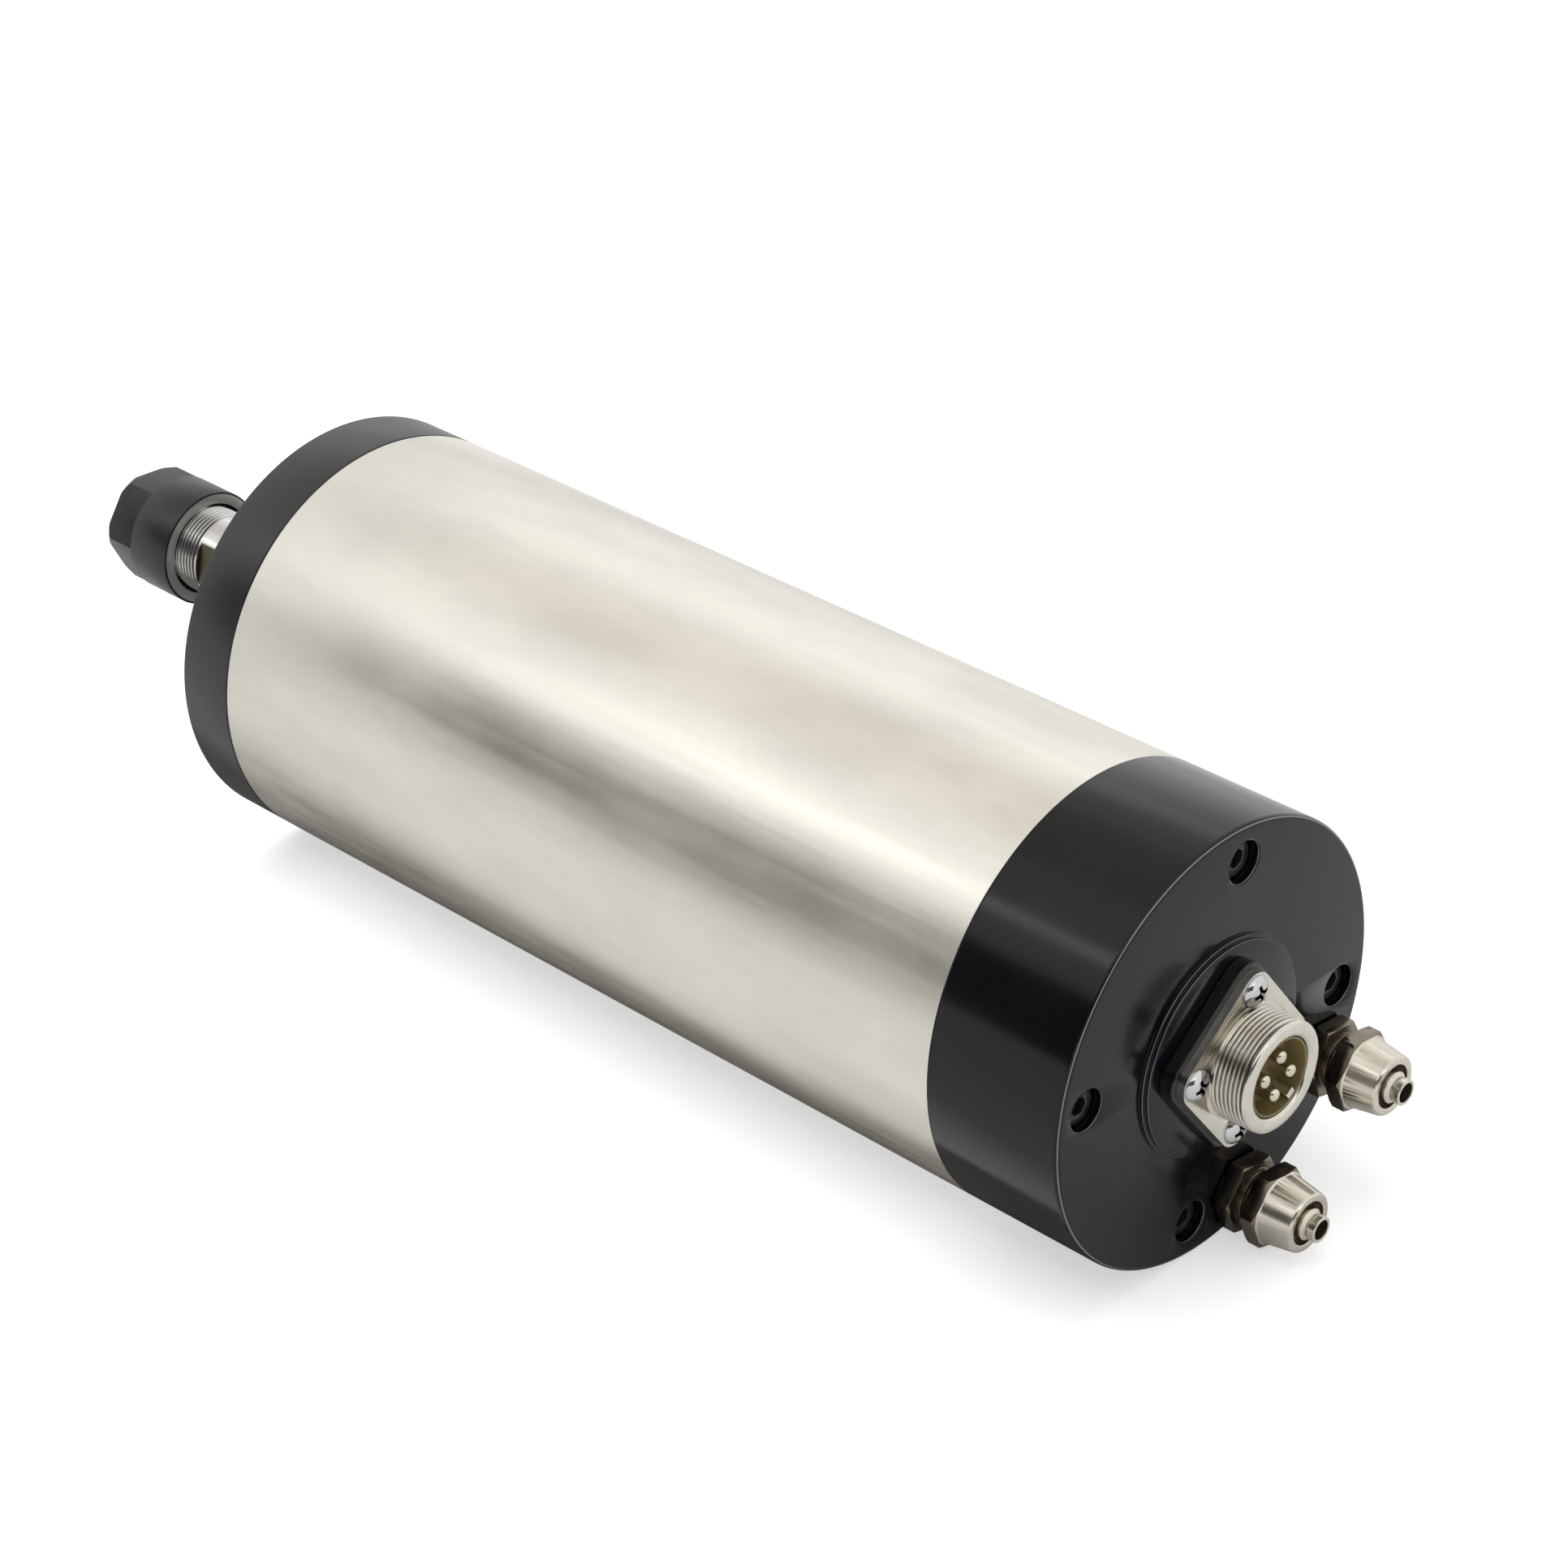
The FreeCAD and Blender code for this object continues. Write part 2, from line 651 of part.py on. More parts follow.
# stator: slotted core and windings with their end turns
stator = turned("stator_core", [
    (STATOR_BORE, STATOR_START),
    (STATOR, STATOR_START),
    (STATOR, STATOR_END),
    (STATOR_BORE, STATOR_END),
])
slot = pocket(stator, outline(stator, "stator_slot", [
    (ROTOR, "-slot_mouth_width / 2"),
    (SLOT_SHOULDER + " - (slot_width - slot_mouth_width) / 4", "-slot_mouth_width / 2"),
    (SLOT_SHOULDER, "-slot_width / 2"),
    (SLOT_BOTTOM, "-slot_width / 2"),
    (SLOT_BOTTOM, "slot_width / 2"),
    (SLOT_SHOULDER, "slot_width / 2"),
    (SLOT_SHOULDER + " - (slot_width - slot_mouth_width) / 4", "slot_mouth_width / 2"),
    (ROTOR, "slot_mouth_width / 2"),
], "XZ_Plane", STATOR_END), STATOR_END + " - " + STATOR_START)
around(stator, "stator_slots", [slot], "slot_count")

WINDING_IN = "(" + SLOT_SHOULDER + " + winding_play)"
windings = turned("stator_windings", [
    (WINDING_IN, STATOR_START + " - end_turn_length"),
    (END_TURN + " - end_turn_bevel", STATOR_START + " - end_turn_length"),
    (END_TURN, STATOR_START + " - end_turn_length + end_turn_bevel"),
    (END_TURN, STATOR_START + " - winding_play"),
    (WINDING_IN, STATOR_START + " - winding_play"),
])
turn(windings, "front_end_turn", [
    (WINDING_IN, STATOR_END + " + winding_play"),
    (END_TURN, STATOR_END + " + winding_play"),
    (END_TURN, STATOR_END + " + end_turn_length - end_turn_bevel"),
    (END_TURN + " - end_turn_bevel", STATOR_END + " + end_turn_length"),
    (WINDING_IN, STATOR_END + " + end_turn_length"),
])
bar_section = rectangle(windings, "slot_bar", WINDING_IN + " + winding_play", SLOT_BOTTOM + " - winding_play",
                        "-slot_width / 2 + winding_play", "slot_width / 2 - winding_play",
                        "(" + STATOR_END + " + slot_bar_overlap)")
bar = pad(windings, bar_section, STATOR_END + " - " + STATOR_START + " + 2 * slot_bar_overlap")
around(windings, "slot_bars", [bar], "slot_count")

# rotor: shaft, core, end rings
TAPER_FLOOR = "(taper_mouth_radius - taper_length * tan(taper_angle))"
shaft = turned("shaft", [
    ("0", SPIGOT_END + " - shaft_stub"),
    ("rear_bore_radius", SPIGOT_END + " - shaft_stub"),
    ("rear_bore_radius", REAR_BEARING_END),
    ("rear_shoulder_radius", REAR_BEARING_END),
    ("rear_shoulder_radius", STATOR_START + " - end_ring_length - core_relief"),
    ("shaft_core_radius", STATOR_START + " - end_ring_length - core_relief"),
    ("shaft_core_radius", BEARING_B + " - shoulder_length"),
    ("front_shoulder_radius", BEARING_B + " - shoulder_length"),
    ("front_shoulder_radius", BEARING_B),
    ("front_bore_radius", BEARING_B),
    ("front_bore_radius", FRONT_FACE),
    ("nose_radius", FRONT_FACE),
    ("nose_radius", SHAFT_END + " - nose_bevel"),
    ("nose_radius - nose_bevel", SHAFT_END),
    ("taper_mouth_radius", SHAFT_END),
    (TAPER_FLOOR, SHAFT_END + " - taper_length"),
    ("drawbar_bore_radius", SHAFT_END + " - taper_length"),
    ("drawbar_bore_radius", SHAFT_END + " - taper_length - drawbar_bore_length"),
    ("0", SHAFT_END + " - taper_length - drawbar_bore_length"),
])
FLAT_HIGH = "(" + SHAFT_END + " - thread_length)"
for name, turn_angle in (("first_flat", "wrench_flat_angle"), ("second_flat", "(wrench_flat_angle + 180)")):
    corners = block("wrench_flat_width / 2", "2 * nose_radius", "nose_radius", turn_angle)
    pocket(shaft, outline(shaft, name, corners, "XZ_Plane", FLAT_HIGH), "wrench_flat_length")

turned("rotor_core", [
    ("shaft_core_radius + slip_gap", STATOR_START),
    (ROTOR, STATOR_START),
    (ROTOR, STATOR_END),
    ("shaft_core_radius + slip_gap", STATOR_END),
])
for name, low, high in (("rear_end_ring", STATOR_START + " - end_ring_length", STATOR_START),
                        ("front_end_ring", STATOR_END, STATOR_END + " + end_ring_length")):
    turned(name, [
        (ROTOR + " - end_ring_wall", low),
        (ROTOR, low),
        (ROTOR, high),
        (ROTOR + " - end_ring_wall", high),
    ])


def bearing(name, kind, low):
    """Rings with their ball tracks, balls and cage, starting at the level low."""
    bore = kind + "_bore_radius"
    rim = kind + "_ring_radius"
    width = kind + "_bearing_width"
    ball = kind + "_ball_radius"
    pitch = "((%s + %s) / 2)" % (bore, rim)
    middle = "(%s + %s / 2)" % (low, width)
    track = "(%s + ball_play)" % ball
    floor_half = "(%s * tan(22.5))" % track
    for ring, side, edge in (("inner_ring", -1, "(%s + slip_gap)" % bore), ("outer_ring", 1, rim)):
        shoulder = "(%s + %d * shoulder_share * %s)" % (pitch, side, ball)
        floor = "(%s + %d * %s)" % (pitch, side, track)
        mouth_half = "(%s + abs(%s - %s))" % (floor_half, floor, shoulder)
        turned(name + "_" + ring, [
            (edge, low),
            (shoulder, low),
            (shoulder, middle + " - " + mouth_half),
            (floor, middle + " - " + floor_half),
            (floor, middle + " + " + floor_half),
            (shoulder, middle + " + " + mouth_half),
            (shoulder, low + " + " + width),
            (edge, low + " + " + width),
        ])
    balls = new_body(name + "_balls")
    one = balls.newObject("PartDesign::AdditiveSphere", name + "_ball")
    one.AttachmentSupport = [(origin_item(balls, "XY_Plane"), "")]
    one.MapMode = "FlatFace"
    bind(one, "AttachmentOffset.Base.x", pitch)
    bind(one, "AttachmentOffset.Base.y", middle)
    bind(one, "Radius", ball)
    around(balls, name + "_ball_ring", [one], kind + "_ball_count")
    half = "(%s + cage_side)" % ball
    cage = turned(name + "_cage", [
        ("%s - cage_wall / 2" % pitch, middle + " - " + half),
        ("%s + cage_wall / 2" % pitch, middle + " - " + half),
        ("%s + cage_wall / 2" % pitch, middle + " + " + half),
        ("%s - cage_wall / 2" % pitch, middle + " + " + half),
    ])
    doc.recompute()
    before = cage.Shape.Volume
    hole = cage.newObject("PartDesign::SubtractiveCylinder", name + "_cage_pocket")
    hole.AttachmentSupport = [(origin_item(cage, "YZ_Plane"), "")]
    hole.MapMode = "FlatFace"
    bind(hole, "AttachmentOffset.Base.x", middle)
    bind(hole, "AttachmentOffset.Base.z", "%s - cage_wall" % pitch)
    bind(hole, "Radius", "%s + pocket_play" % ball)
    bind(hole, "Height", "2 * cage_wall")
    around(cage, name + "_cage_pockets", [hole], kind + "_ball_count")
    if cage.Shape.Volume > before - 1e-6:
        raise RuntimeError(name + " cage has no pockets")


bearing("nose_bearing", "front", BEARING_A)
bearing("inboard_bearing", "front", BEARING_B)
bearing("rear_bearing", "rear", REAR_BEARING)

SPACER_LOW = "(" + BEARING_B + " + front_bearing_width)"
turned("inner_ring_spacer", [
    ("front_bore_radius + slip_gap", SPACER_LOW),
    ("front_bore_radius + spacer_wall", SPACER_LOW),
    ("front_bore_radius + spacer_wall", BEARING_A),
    ("front_bore_radius + slip_gap", BEARING_A),
])
turned("outer_ring_spacer", [
    ("front_ring_radius - spacer_wall", SPACER_LOW),
    ("front_ring_radius", SPACER_LOW),
    ("front_ring_radius", BEARING_A),
    ("front_ring_radius - spacer_wall", BEARING_A),
])
turned("bearing_retainer", [
    ("front_ring_radius - retainer_wall", BEARING_B + " - retainer_length"),
    ("front_ring_radius", BEARING_B + " - retainer_length"),
    ("front_ring_radius", BEARING_B),
    ("front_ring_radius - retainer_wall", BEARING_B),
])
turned("bearing_lock_nut", [
    ("front_bore_radius + slip_gap", BEARING_FRONT),
    ("lock_nut_radius", BEARING_FRONT),
    ("lock_nut_radius", BEARING_FRONT + " + lock_nut_length"),
    ("front_bore_radius + slip_gap", BEARING_FRONT + " + lock_nut_length"),
])
turned("dust_ring", [
    ("front_bore_radius + slip_gap", BEARING_FRONT + " + lock_nut_length"),
    ("dust_ring_radius", BEARING_FRONT + " + lock_nut_length"),
    ("dust_ring_radius", BEARING_FRONT + " + lock_nut_length + dust_ring_length"),
    ("front_bore_radius + slip_gap", BEARING_FRONT + " + lock_nut_length + dust_ring_length"),
])
turned("preload_spring", [
    ("spring_inner_radius", SPIGOT_END + " + seat_wall"),
    ("rear_ring_radius", SPIGOT_END + " + seat_wall"),
    ("rear_ring_radius", REAR_BEARING),
    ("spring_inner_radius", REAR_BEARING),
])
turned("rear_circlip", [
    ("rear_bore_radius + slip_gap", REAR_BEARING + " - circlip_length"),
    ("circlip_radius", REAR_BEARING + " - circlip_length"),
    ("circlip_radius", REAR_BEARING),
    ("rear_bore_radius + slip_gap", REAR_BEARING),
])

# collet: slotted from both ends, with an extracting groove behind its head
COLLET_HEAD = "(collet_groove_start + collet_groove_width + collet_nose_length)"
COLLET_BACK = "(" + SHAFT_END + " + " + COLLET_HEAD + " - collet_length)"
COLLET_FRONT = "(" + SHAFT_END + " + " + COLLET_HEAD + ")"
SEATED = "(taper_mouth_radius - collet_play)"
GROOVE_LOW = "(" + SHAFT_END + " + collet_groove_start)"
GROOVE_HIGH = "(" + SHAFT_END + " + collet_groove_start + collet_groove_width)"
HEAD = "(taper_mouth_radius - collet_play + collet_groove_start * tan(taper_angle))"
collet = turned("collet", [
    ("collet_bore_radius", COLLET_BACK),
    (SEATED + " - (collet_length - " + COLLET_HEAD + ") * tan(taper_angle)", COLLET_BACK),
    (HEAD, GROOVE_LOW),
    (HEAD + " - collet_groove_depth", GROOVE_LOW),
    (HEAD + " - collet_groove_depth", GROOVE_HIGH),
    (HEAD, GROOVE_HIGH),
    (HEAD + " - collet_nose_length * tan(collet_nose_angle)", COLLET_FRONT),
    ("collet_bore_radius", COLLET_FRONT),
])
slot_section = rectangle(collet, "front_slot", "0", "2 * taper_mouth_radius",
                         "-collet_slot_width / 2", "collet_slot_width / 2", COLLET_FRONT)
front_slot = pocket(collet, slot_section, "collet_length - collet_land")
around(collet, "front_slots", [front_slot], "collet_slot_count")
HALF_STEP = "(180 / collet_slot_count)"
slot_corners = block("0", "2 * taper_mouth_radius", "collet_slot_width / 2", HALF_STEP)
slot_section = outline(collet, "rear_slot", slot_corners, "XZ_Plane",
                       "(" + COLLET_FRONT + " - collet_land)")
rear_slot = pocket(collet, slot_section, "collet_length - collet_land")
around(collet, "rear_slots", [rear_slot], "collet_slot_count")

# collet nut: round behind, six flats in front, with a lip that holds the collet's groove
LIP_LOW = "(" + GROOVE_LOW + " + collet_play)"
LIP_HIGH = "(" + GROOVE_HIGH + " - collet_play)"
nut = turned("collet_nut", [
    ("nut_recess_radius", NUT_REAR),
    ("nut_diameter / 2 - nut_back_edge", NUT_REAR),
    ("nut_diameter / 2", NUT_REAR + " + nut_back_edge"),
    ("nut_diameter / 2", NUT_FRONT + " - nut_bevel_length"),
    ("nut_diameter / 2 - nut_bevel_width", NUT_FRONT),
    ("nut_mouth_radius + nut_mouth_bevel", NUT_FRONT),
    ("nut_mouth_radius", NUT_FRONT + " - nut_mouth_bevel"),
    ("nut_mouth_radius", COLLET_FRONT),
    (HEAD + " + collet_play", LIP_HIGH),
    (HEAD + " - collet_groove_depth + 3 * collet_play", LIP_HIGH),
    (HEAD + " - collet_groove_depth + 3 * collet_play", LIP_LOW),
    ("nose_radius + thread_play", LIP_LOW),
    ("nose_radius + thread_play", NUT_REAR + " + nut_recess_depth"),
    ("nut_recess_radius", NUT_REAR + " + nut_recess_depth"),
])
flat_corners = block("nut_flat_width / 2", "nut_diameter", "nut_diameter / 2", "(nut_flat_angle + 30)")
flat = pocket(nut, outline(nut, "nut_flat", flat_corners, "XZ_Plane", NUT_FRONT), "nut_flat_length")
around(nut, "nut_flats", [flat], "6")


# power connector: gasket, square flange with threaded barrel, insulator and pins
def flange_plate(body, name, side, corner, high, thickness):
    corners = []
    for i in range(4):
        angle = "(flange_angle + %d)" % (90 * i)
        corners.append(polar("%s / sqrt(2)" % side, angle))
    plate = pad(body, outline(body, name, corners, "XZ_Plane", high), thickness)
    return round_edges(body, name + "_corners", plate, corner, along_axis)


gasket = new_body("connector_gasket")
flange_plate(gasket, "gasket_plate", "gasket_side", "gasket_corner", BOSS_FACE, "gasket_thickness")
pocket(gasket, disc(gasket, "gasket_hole", "connector_hole_radius", BOSS_FACE), "gasket_thickness")
holes(gasket, "gasket_screw_hole", "flange_screw_radius + flange_hole_play", "4", "flange_screw_circle",
      "flange_angle", BOSS_FACE, FLANGE_BACK)

shell = new_body("connector_shell")
flange_plate(shell, "flange", "flange_side", "flange_corner", FLANGE_BACK, "flange_thickness")
turn(shell, "barrel", [
    ("barrel_bore_radius", BARREL_FRONT),
    ("barrel_radius - barrel_bevel", BARREL_FRONT),
    ("barrel_radius", BARREL_FRONT + " + barrel_bevel"),
    ("barrel_radius", FLANGE_FRONT + " - barrel_neck_length"),
    ("barrel_neck_radius", FLANGE_FRONT + " - barrel_neck_length"),
    ("barrel_neck_radius", FLANGE_BACK + " - flange_thickness / 2"),
    ("connector_hole_radius - barrel_tail_play", FLANGE_BACK + " - flange_thickness / 2"),
    ("connector_hole_radius - barrel_tail_play", FLANGE_BACK + " + barrel_tail_length"),
    ("barrel_bore_radius", FLANGE_BACK + " + barrel_tail_length"),
])
pocket(shell, disc(shell, "flange_bore", "barrel_bore_radius", FLANGE_BACK), "flange_thickness")
holes(shell, "flange_screw_hole", "flange_screw_radius + flange_hole_play", "4", "flange_screw_circle",
      "flange_angle", FLANGE_BACK, FLANGE_FRONT)

INSULATOR_FACE = "(" + BARREL_FRONT + " + insulator_recess)"
insulator = turned("connector_insulator", [
    ("0", INSULATOR_FACE),
    ("barrel_bore_radius - slip_gap - liner_wall", INSULATOR_FACE),
    ("barrel_bore_radius - slip_gap - liner_wall", BARREL_FRONT + " + liner_setback"),
    ("barrel_bore_radius - slip_gap", BARREL_FRONT + " + liner_setback"),
    ("barrel_bore_radius - slip_gap", INSULATOR_FACE + " + insulator_length"),
    ("0", INSULATOR_FACE + " + insulator_length"),
])
holes(insulator, "pin_hole", "pin_radius", "pin_count", "pin_circle_radius", "pin_first_angle",
      "(" + INSULATOR_FACE + " + insulator_length)", INSULATOR_FACE)

pins = new_body("connector_pins")
PIN_FRONT = "(" + BARREL_FRONT + " + pin_setback)"
PIN_LENGTH = "(insulator_recess - pin_setback + insulator_length + pin_tail_length)"
pin_x, pin_z = polar("pin_circle_radius", "pin_first_angle")
pin_section = disc(pins, "pin", "pin_radius", "(" + PIN_FRONT + " + " + PIN_LENGTH + ")", pin_x, pin_z)
pin = pad(pins, pin_section, PIN_LENGTH)
around(pins, "pin_ring", [pin], "pin_count")

key = new_body("connector_key")
key_corners = block("barrel_bore_radius - key_height", "barrel_bore_radius - key_play",
                    "key_width / 2", "key_angle")
pad(key, outline(key, "key", key_corners, "XZ_Plane", INSULATOR_FACE), "insulator_recess - key_setback")

screws = new_body("connector_screws")
screw_x, screw_z = polar("flange_screw_circle", "flange_angle")
head_section = disc(screws, "flange_screw_head", "flange_screw_head_radius", FLANGE_FRONT, screw_x, screw_z)
screw_head = pad(screws, head_section, "flange_screw_head_height")
shank_section = disc(screws, "flange_screw_shank", "flange_screw_radius",
                     "(" + FLANGE_FRONT + " + flange_screw_length)", screw_x, screw_z)
screw_shank = pad(screws, shank_section, "flange_screw_length")
around(screws, "flange_screw_ring", [screw_head, screw_shank], "4")


# hose fittings, each with its washer, screwed body with barb, and loose cap nut
def fitting(port, angle):
    x, z = polar(PORT_CIRCLE, angle)
    turned(port + "_washer", [
        ("port_thread_radius + slip_gap", HEX_BACK),
        ("washer_radius", HEX_BACK),
        ("washer_radius", "0"),
        ("port_thread_radius + slip_gap", "0"),
    ], x=x, z=z)
    body = new_body(port + "_fitting", x=x, z=z)
    hex_section = hexagon(body, port + "_hex", "fitting_hex_width", "fitting_hex_angle", HEX_BACK)
    pad(body, hex_section, "fitting_hex_length")
    turn(body, port + "_stem", [
        ("0", HEX_FRONT + " - fitting_thread_length - barb_length - tip_length"),
        ("tip_radius", HEX_FRONT + " - fitting_thread_length - barb_length - tip_length"),
        ("tip_radius", HEX_FRONT + " - fitting_thread_length - barb_length"),
        ("barb_radius", HEX_FRONT + " - fitting_thread_length - barb_length + barb_lead"),
        ("barb_radius", HEX_FRONT + " - fitting_thread_length"),
        ("fitting_thread_radius", HEX_FRONT + " - fitting_thread_length"),
        ("fitting_thread_radius", HEX_FRONT + " + fitting_hex_length / 2"),
        ("port_thread_radius", HEX_FRONT + " + fitting_hex_length / 2"),
        ("port_thread_radius", "port_depth - port_play"),
        ("0", "port_depth - port_play"),
    ])
    pocket(body, disc(body, port + "_bore", "fitting_bore_radius", "port_depth"),
           "port_depth - " + HEX_FRONT + " + fitting_thread_length + barb_length + tip_length")
    hex_end = "(" + CAP_NUT_BACK + " - cap_nut_hex_length)"
    shoulder = "(" + hex_end + " - cap_nut_bevel_length)"
    front = "(" + shoulder + " - cap_nut_cone_length)"
    bore = "(fitting_thread_radius + thread_play)"
    cap = new_body(port + "_cap_nut", x=x, z=z)
    turn(cap, port + "_cone", [
        (bore, CAP_NUT_BACK),
        ("cap_nut_hex_width / sqrt(3) - cap_nut_back_bevel", CAP_NUT_BACK),
        ("cap_nut_hex_width / sqrt(3)", CAP_NUT_BACK + " - cap_nut_back_edge"),
        ("cap_nut_hex_width / sqrt(3)", hex_end),
        ("cap_nut_shoulder_radius", shoulder),
        ("cap_nut_front_radius", front + " + cap_nut_edge"),
        ("cap_nut_front_radius - cap_nut_edge", front),
        ("cap_nut_mouth_radius", front),
        ("cap_nut_mouth_radius", front + " + cap_nut_mouth_length"),
        (bore, front + " + cap_nut_mouth_length + cap_nut_mouth_cone"),
    ])
    flats = block("cap_nut_hex_width / 2", "cap_nut_hex_width",
                  "cap_nut_hex_width / 2", "(fitting_hex_angle + 30)")
    one = pocket(cap, outline(cap, port + "_nut_flat", flats, "XZ_Plane", CAP_NUT_BACK),
                 "cap_nut_hex_length + cap_nut_bevel_length")
    around(cap, port + "_nut_flats", [one], "6")


for port, angle in PORT_ANGLES.items():
    fitting(port, angle)

# leads from the connector to the windings
leads = new_body("motor_leads")
LEAD_START = "(" + PIN_FRONT + " + " + PIN_LENGTH + ")"
path = leads.newObject("Sketcher::SketchObject", "lead_path")
path.AttachmentSupport = [(origin_item(leads, "XY_Plane"), "")]
path.MapMode = "FlatFace"
stops = [("pin_circle_radius", LEAD_START), ("pin_circle_radius", LEAD_START + " + lead_straight"),
         (LEAD_CIRCLE, SPIGOT_END + " - lead_reach"), (LEAD_CIRCLE, STATOR_START + " - end_turn_length")]
first = [FreeCAD.Vector(2 + 5 * i, 4 * i * i, 0) for i in range(4)]
path.addGeometry([Part.LineSegment(first[i], first[i + 1]) for i in range(3)], False)
path.addConstraint([Sketcher.Constraint("Coincident", 0, 2, 1, 1),
                    Sketcher.Constraint("Coincident", 1, 2, 2, 1)])
for i in range(4):
    edge, end = (i, 1) if i < 3 else (2, 2)
    number = path.ConstraintCount
    path.addConstraint([Sketcher.Constraint("DistanceX", -1, 1, edge, end, first[i].x),
                        Sketcher.Constraint("DistanceY", -1, 1, edge, end, first[i].y)])
    bind(path, "Constraints[%d]" % number, stops[i][0])
    bind(path, "Constraints[%d]" % (number + 1), stops[i][1])
section = disc(leads, "lead_section", "lead_radius", LEAD_START, "pin_circle_radius", "0")
pipe = leads.newObject("PartDesign::AdditivePipe", "lead")
pipe.Profile = section
pipe.Spine = (path, ["Edge1", "Edge2", "Edge3"])
pipe.Transition = "Round corner"
around(leads, "lead_ring", [pipe], "pin_count")
bind(leads, "Placement.Rotation.Angle", "0 - pin_first_angle")

doc.recompute()

for item in doc.Objects:
    if "Invalid" in item.State or "Error" in item.State:
        raise RuntimeError("failed: " + item.Label + " " + str(item.State))
os.makedirs("parts", exist_ok=True)
for body in SUBPARTS:
    if body.Shape.isNull() or not body.Shape.isValid() or not body.Shape.Solids:
        raise RuntimeError("bad shape: " + body.Label)
    body.Shape.exportStep("parts/" + body.Label + ".step")
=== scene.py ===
import math

import bpy
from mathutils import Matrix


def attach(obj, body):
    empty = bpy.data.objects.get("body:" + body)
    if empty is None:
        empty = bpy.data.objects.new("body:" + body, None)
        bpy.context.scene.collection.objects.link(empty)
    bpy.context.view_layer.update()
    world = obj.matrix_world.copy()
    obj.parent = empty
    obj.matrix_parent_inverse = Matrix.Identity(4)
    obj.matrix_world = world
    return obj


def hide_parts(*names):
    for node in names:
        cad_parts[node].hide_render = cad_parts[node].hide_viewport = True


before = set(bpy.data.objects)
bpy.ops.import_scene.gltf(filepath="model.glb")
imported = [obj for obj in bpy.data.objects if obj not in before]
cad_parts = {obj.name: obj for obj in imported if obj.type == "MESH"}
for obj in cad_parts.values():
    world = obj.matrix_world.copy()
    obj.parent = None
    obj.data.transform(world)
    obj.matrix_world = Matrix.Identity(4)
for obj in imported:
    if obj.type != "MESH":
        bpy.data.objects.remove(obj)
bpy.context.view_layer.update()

# Lengths are in millimetres from the flat rear face of the rear cap, nose towards +Y;
# the frame's origin lies in the middle of the clamping sleeve, 92 mm further along.
# Angles are in degrees from +X towards +Z. Only the studio is given in metres.
MM = 0.001
WELD = 0.0001
REAR_FACE = -92.0
BODY_RADIUS = 32.5
SLEEVE_BORE = 30
SPIGOT_RADIUS = 29.95
REAR_JOINT = 22
FRONT_JOINT = 162
FRONT_FACE = 172
EDGE = 0.25
CAP_RIM = 0.8
SCREW_CIRCLE = 27.0
SCREW_ANGLE = 82.7
BOSS_FACE = -1.1
GASKET_FACE = -3.4
FLANGE_FACE = -4.7
FLANGE_ANGLE = 83.5
FLANGE_SCREW_CIRCLE = 10.3
CONNECTOR_HOLE = 7.5
PIN_CIRCLE = 2.8
PIN_ANGLE = 80
KEY_ANGLE = -55
PORTS = {"inlet": -28.25, "outlet": -75.75}
PORT_CIRCLE = 27.2
WASHER_FACE = -0.3
HEX_ANGLE = 53.0
SHAFT_FLATS = (-11, 169)
NUT_FLAT_ANGLE = 27


def along(y):
    return (y + REAR_FACE) * MM


def ring_place(radius, angle):
    turn = math.radians(angle)
    return radius * math.cos(turn), radius * math.sin(turn)


SCREW_X, SCREW_Z = ring_place(SCREW_CIRCLE, SCREW_ANGLE)
FLANGE_SCREW_X, FLANGE_SCREW_Z = ring_place(FLANGE_SCREW_CIRCLE, FLANGE_ANGLE)


# modelling

def drop_selection():
    if bpy.context.object and bpy.context.object.mode != "OBJECT":
        bpy.ops.object.mode_set(mode="OBJECT")
    bpy.ops.object.select_all(action="DESELECT")


def take(piece):
    drop_selection()
    piece.select_set(True)
    bpy.context.view_layer.objects.active = piece


def settle(piece, smooth=32):
    """Puts the piece's place in its mesh and smooths its round faces."""
    take(piece)
    bpy.ops.object.transform_apply(location=True, rotation=True, scale=True)
    bpy.ops.object.mode_set(mode="EDIT")
    bpy.ops.mesh.select_all(action="SELECT")
    bpy.ops.mesh.remove_doubles(threshold=WELD * MM)
    bpy.ops.mesh.normals_make_consistent(inside=False)
    bpy.ops.object.mode_set(mode="OBJECT")
    bpy.ops.object.shade_smooth_by_angle(angle=math.radians(smooth))
    return piece


def turned(name, rings, hollow=False, x=0.0, z=0.0, steps=96):
    """Turns a piece about a line along Y: a circle is extruded and resized from ring to ring."""
    drop_selection()
    radius, y = rings[0]
    bpy.ops.mesh.primitive_circle_add(
        vertices=steps, radius=radius * MM, location=(x * MM, along(y), z * MM), rotation=(math.pi / 2, 0, 0),
        fill_type="NOTHING" if hollow else "NGON")
    piece = bpy.context.object
    piece.name = name
    bpy.ops.object.mode_set(mode="EDIT")
    path = rings[1:] + ([rings[0]] if hollow else [])
    for next_radius, next_y in path:
        bpy.ops.mesh.extrude_region_move(TRANSFORM_OT_translate={"value": (0, (next_y - y) * MM, 0)})
        if next_radius != radius:
            share = next_radius / radius
            bpy.ops.transform.resize(value=(share, 1, share), center_override=(x * MM, along(next_y), z * MM))
        radius, y = next_radius, next_y
    return settle(piece)


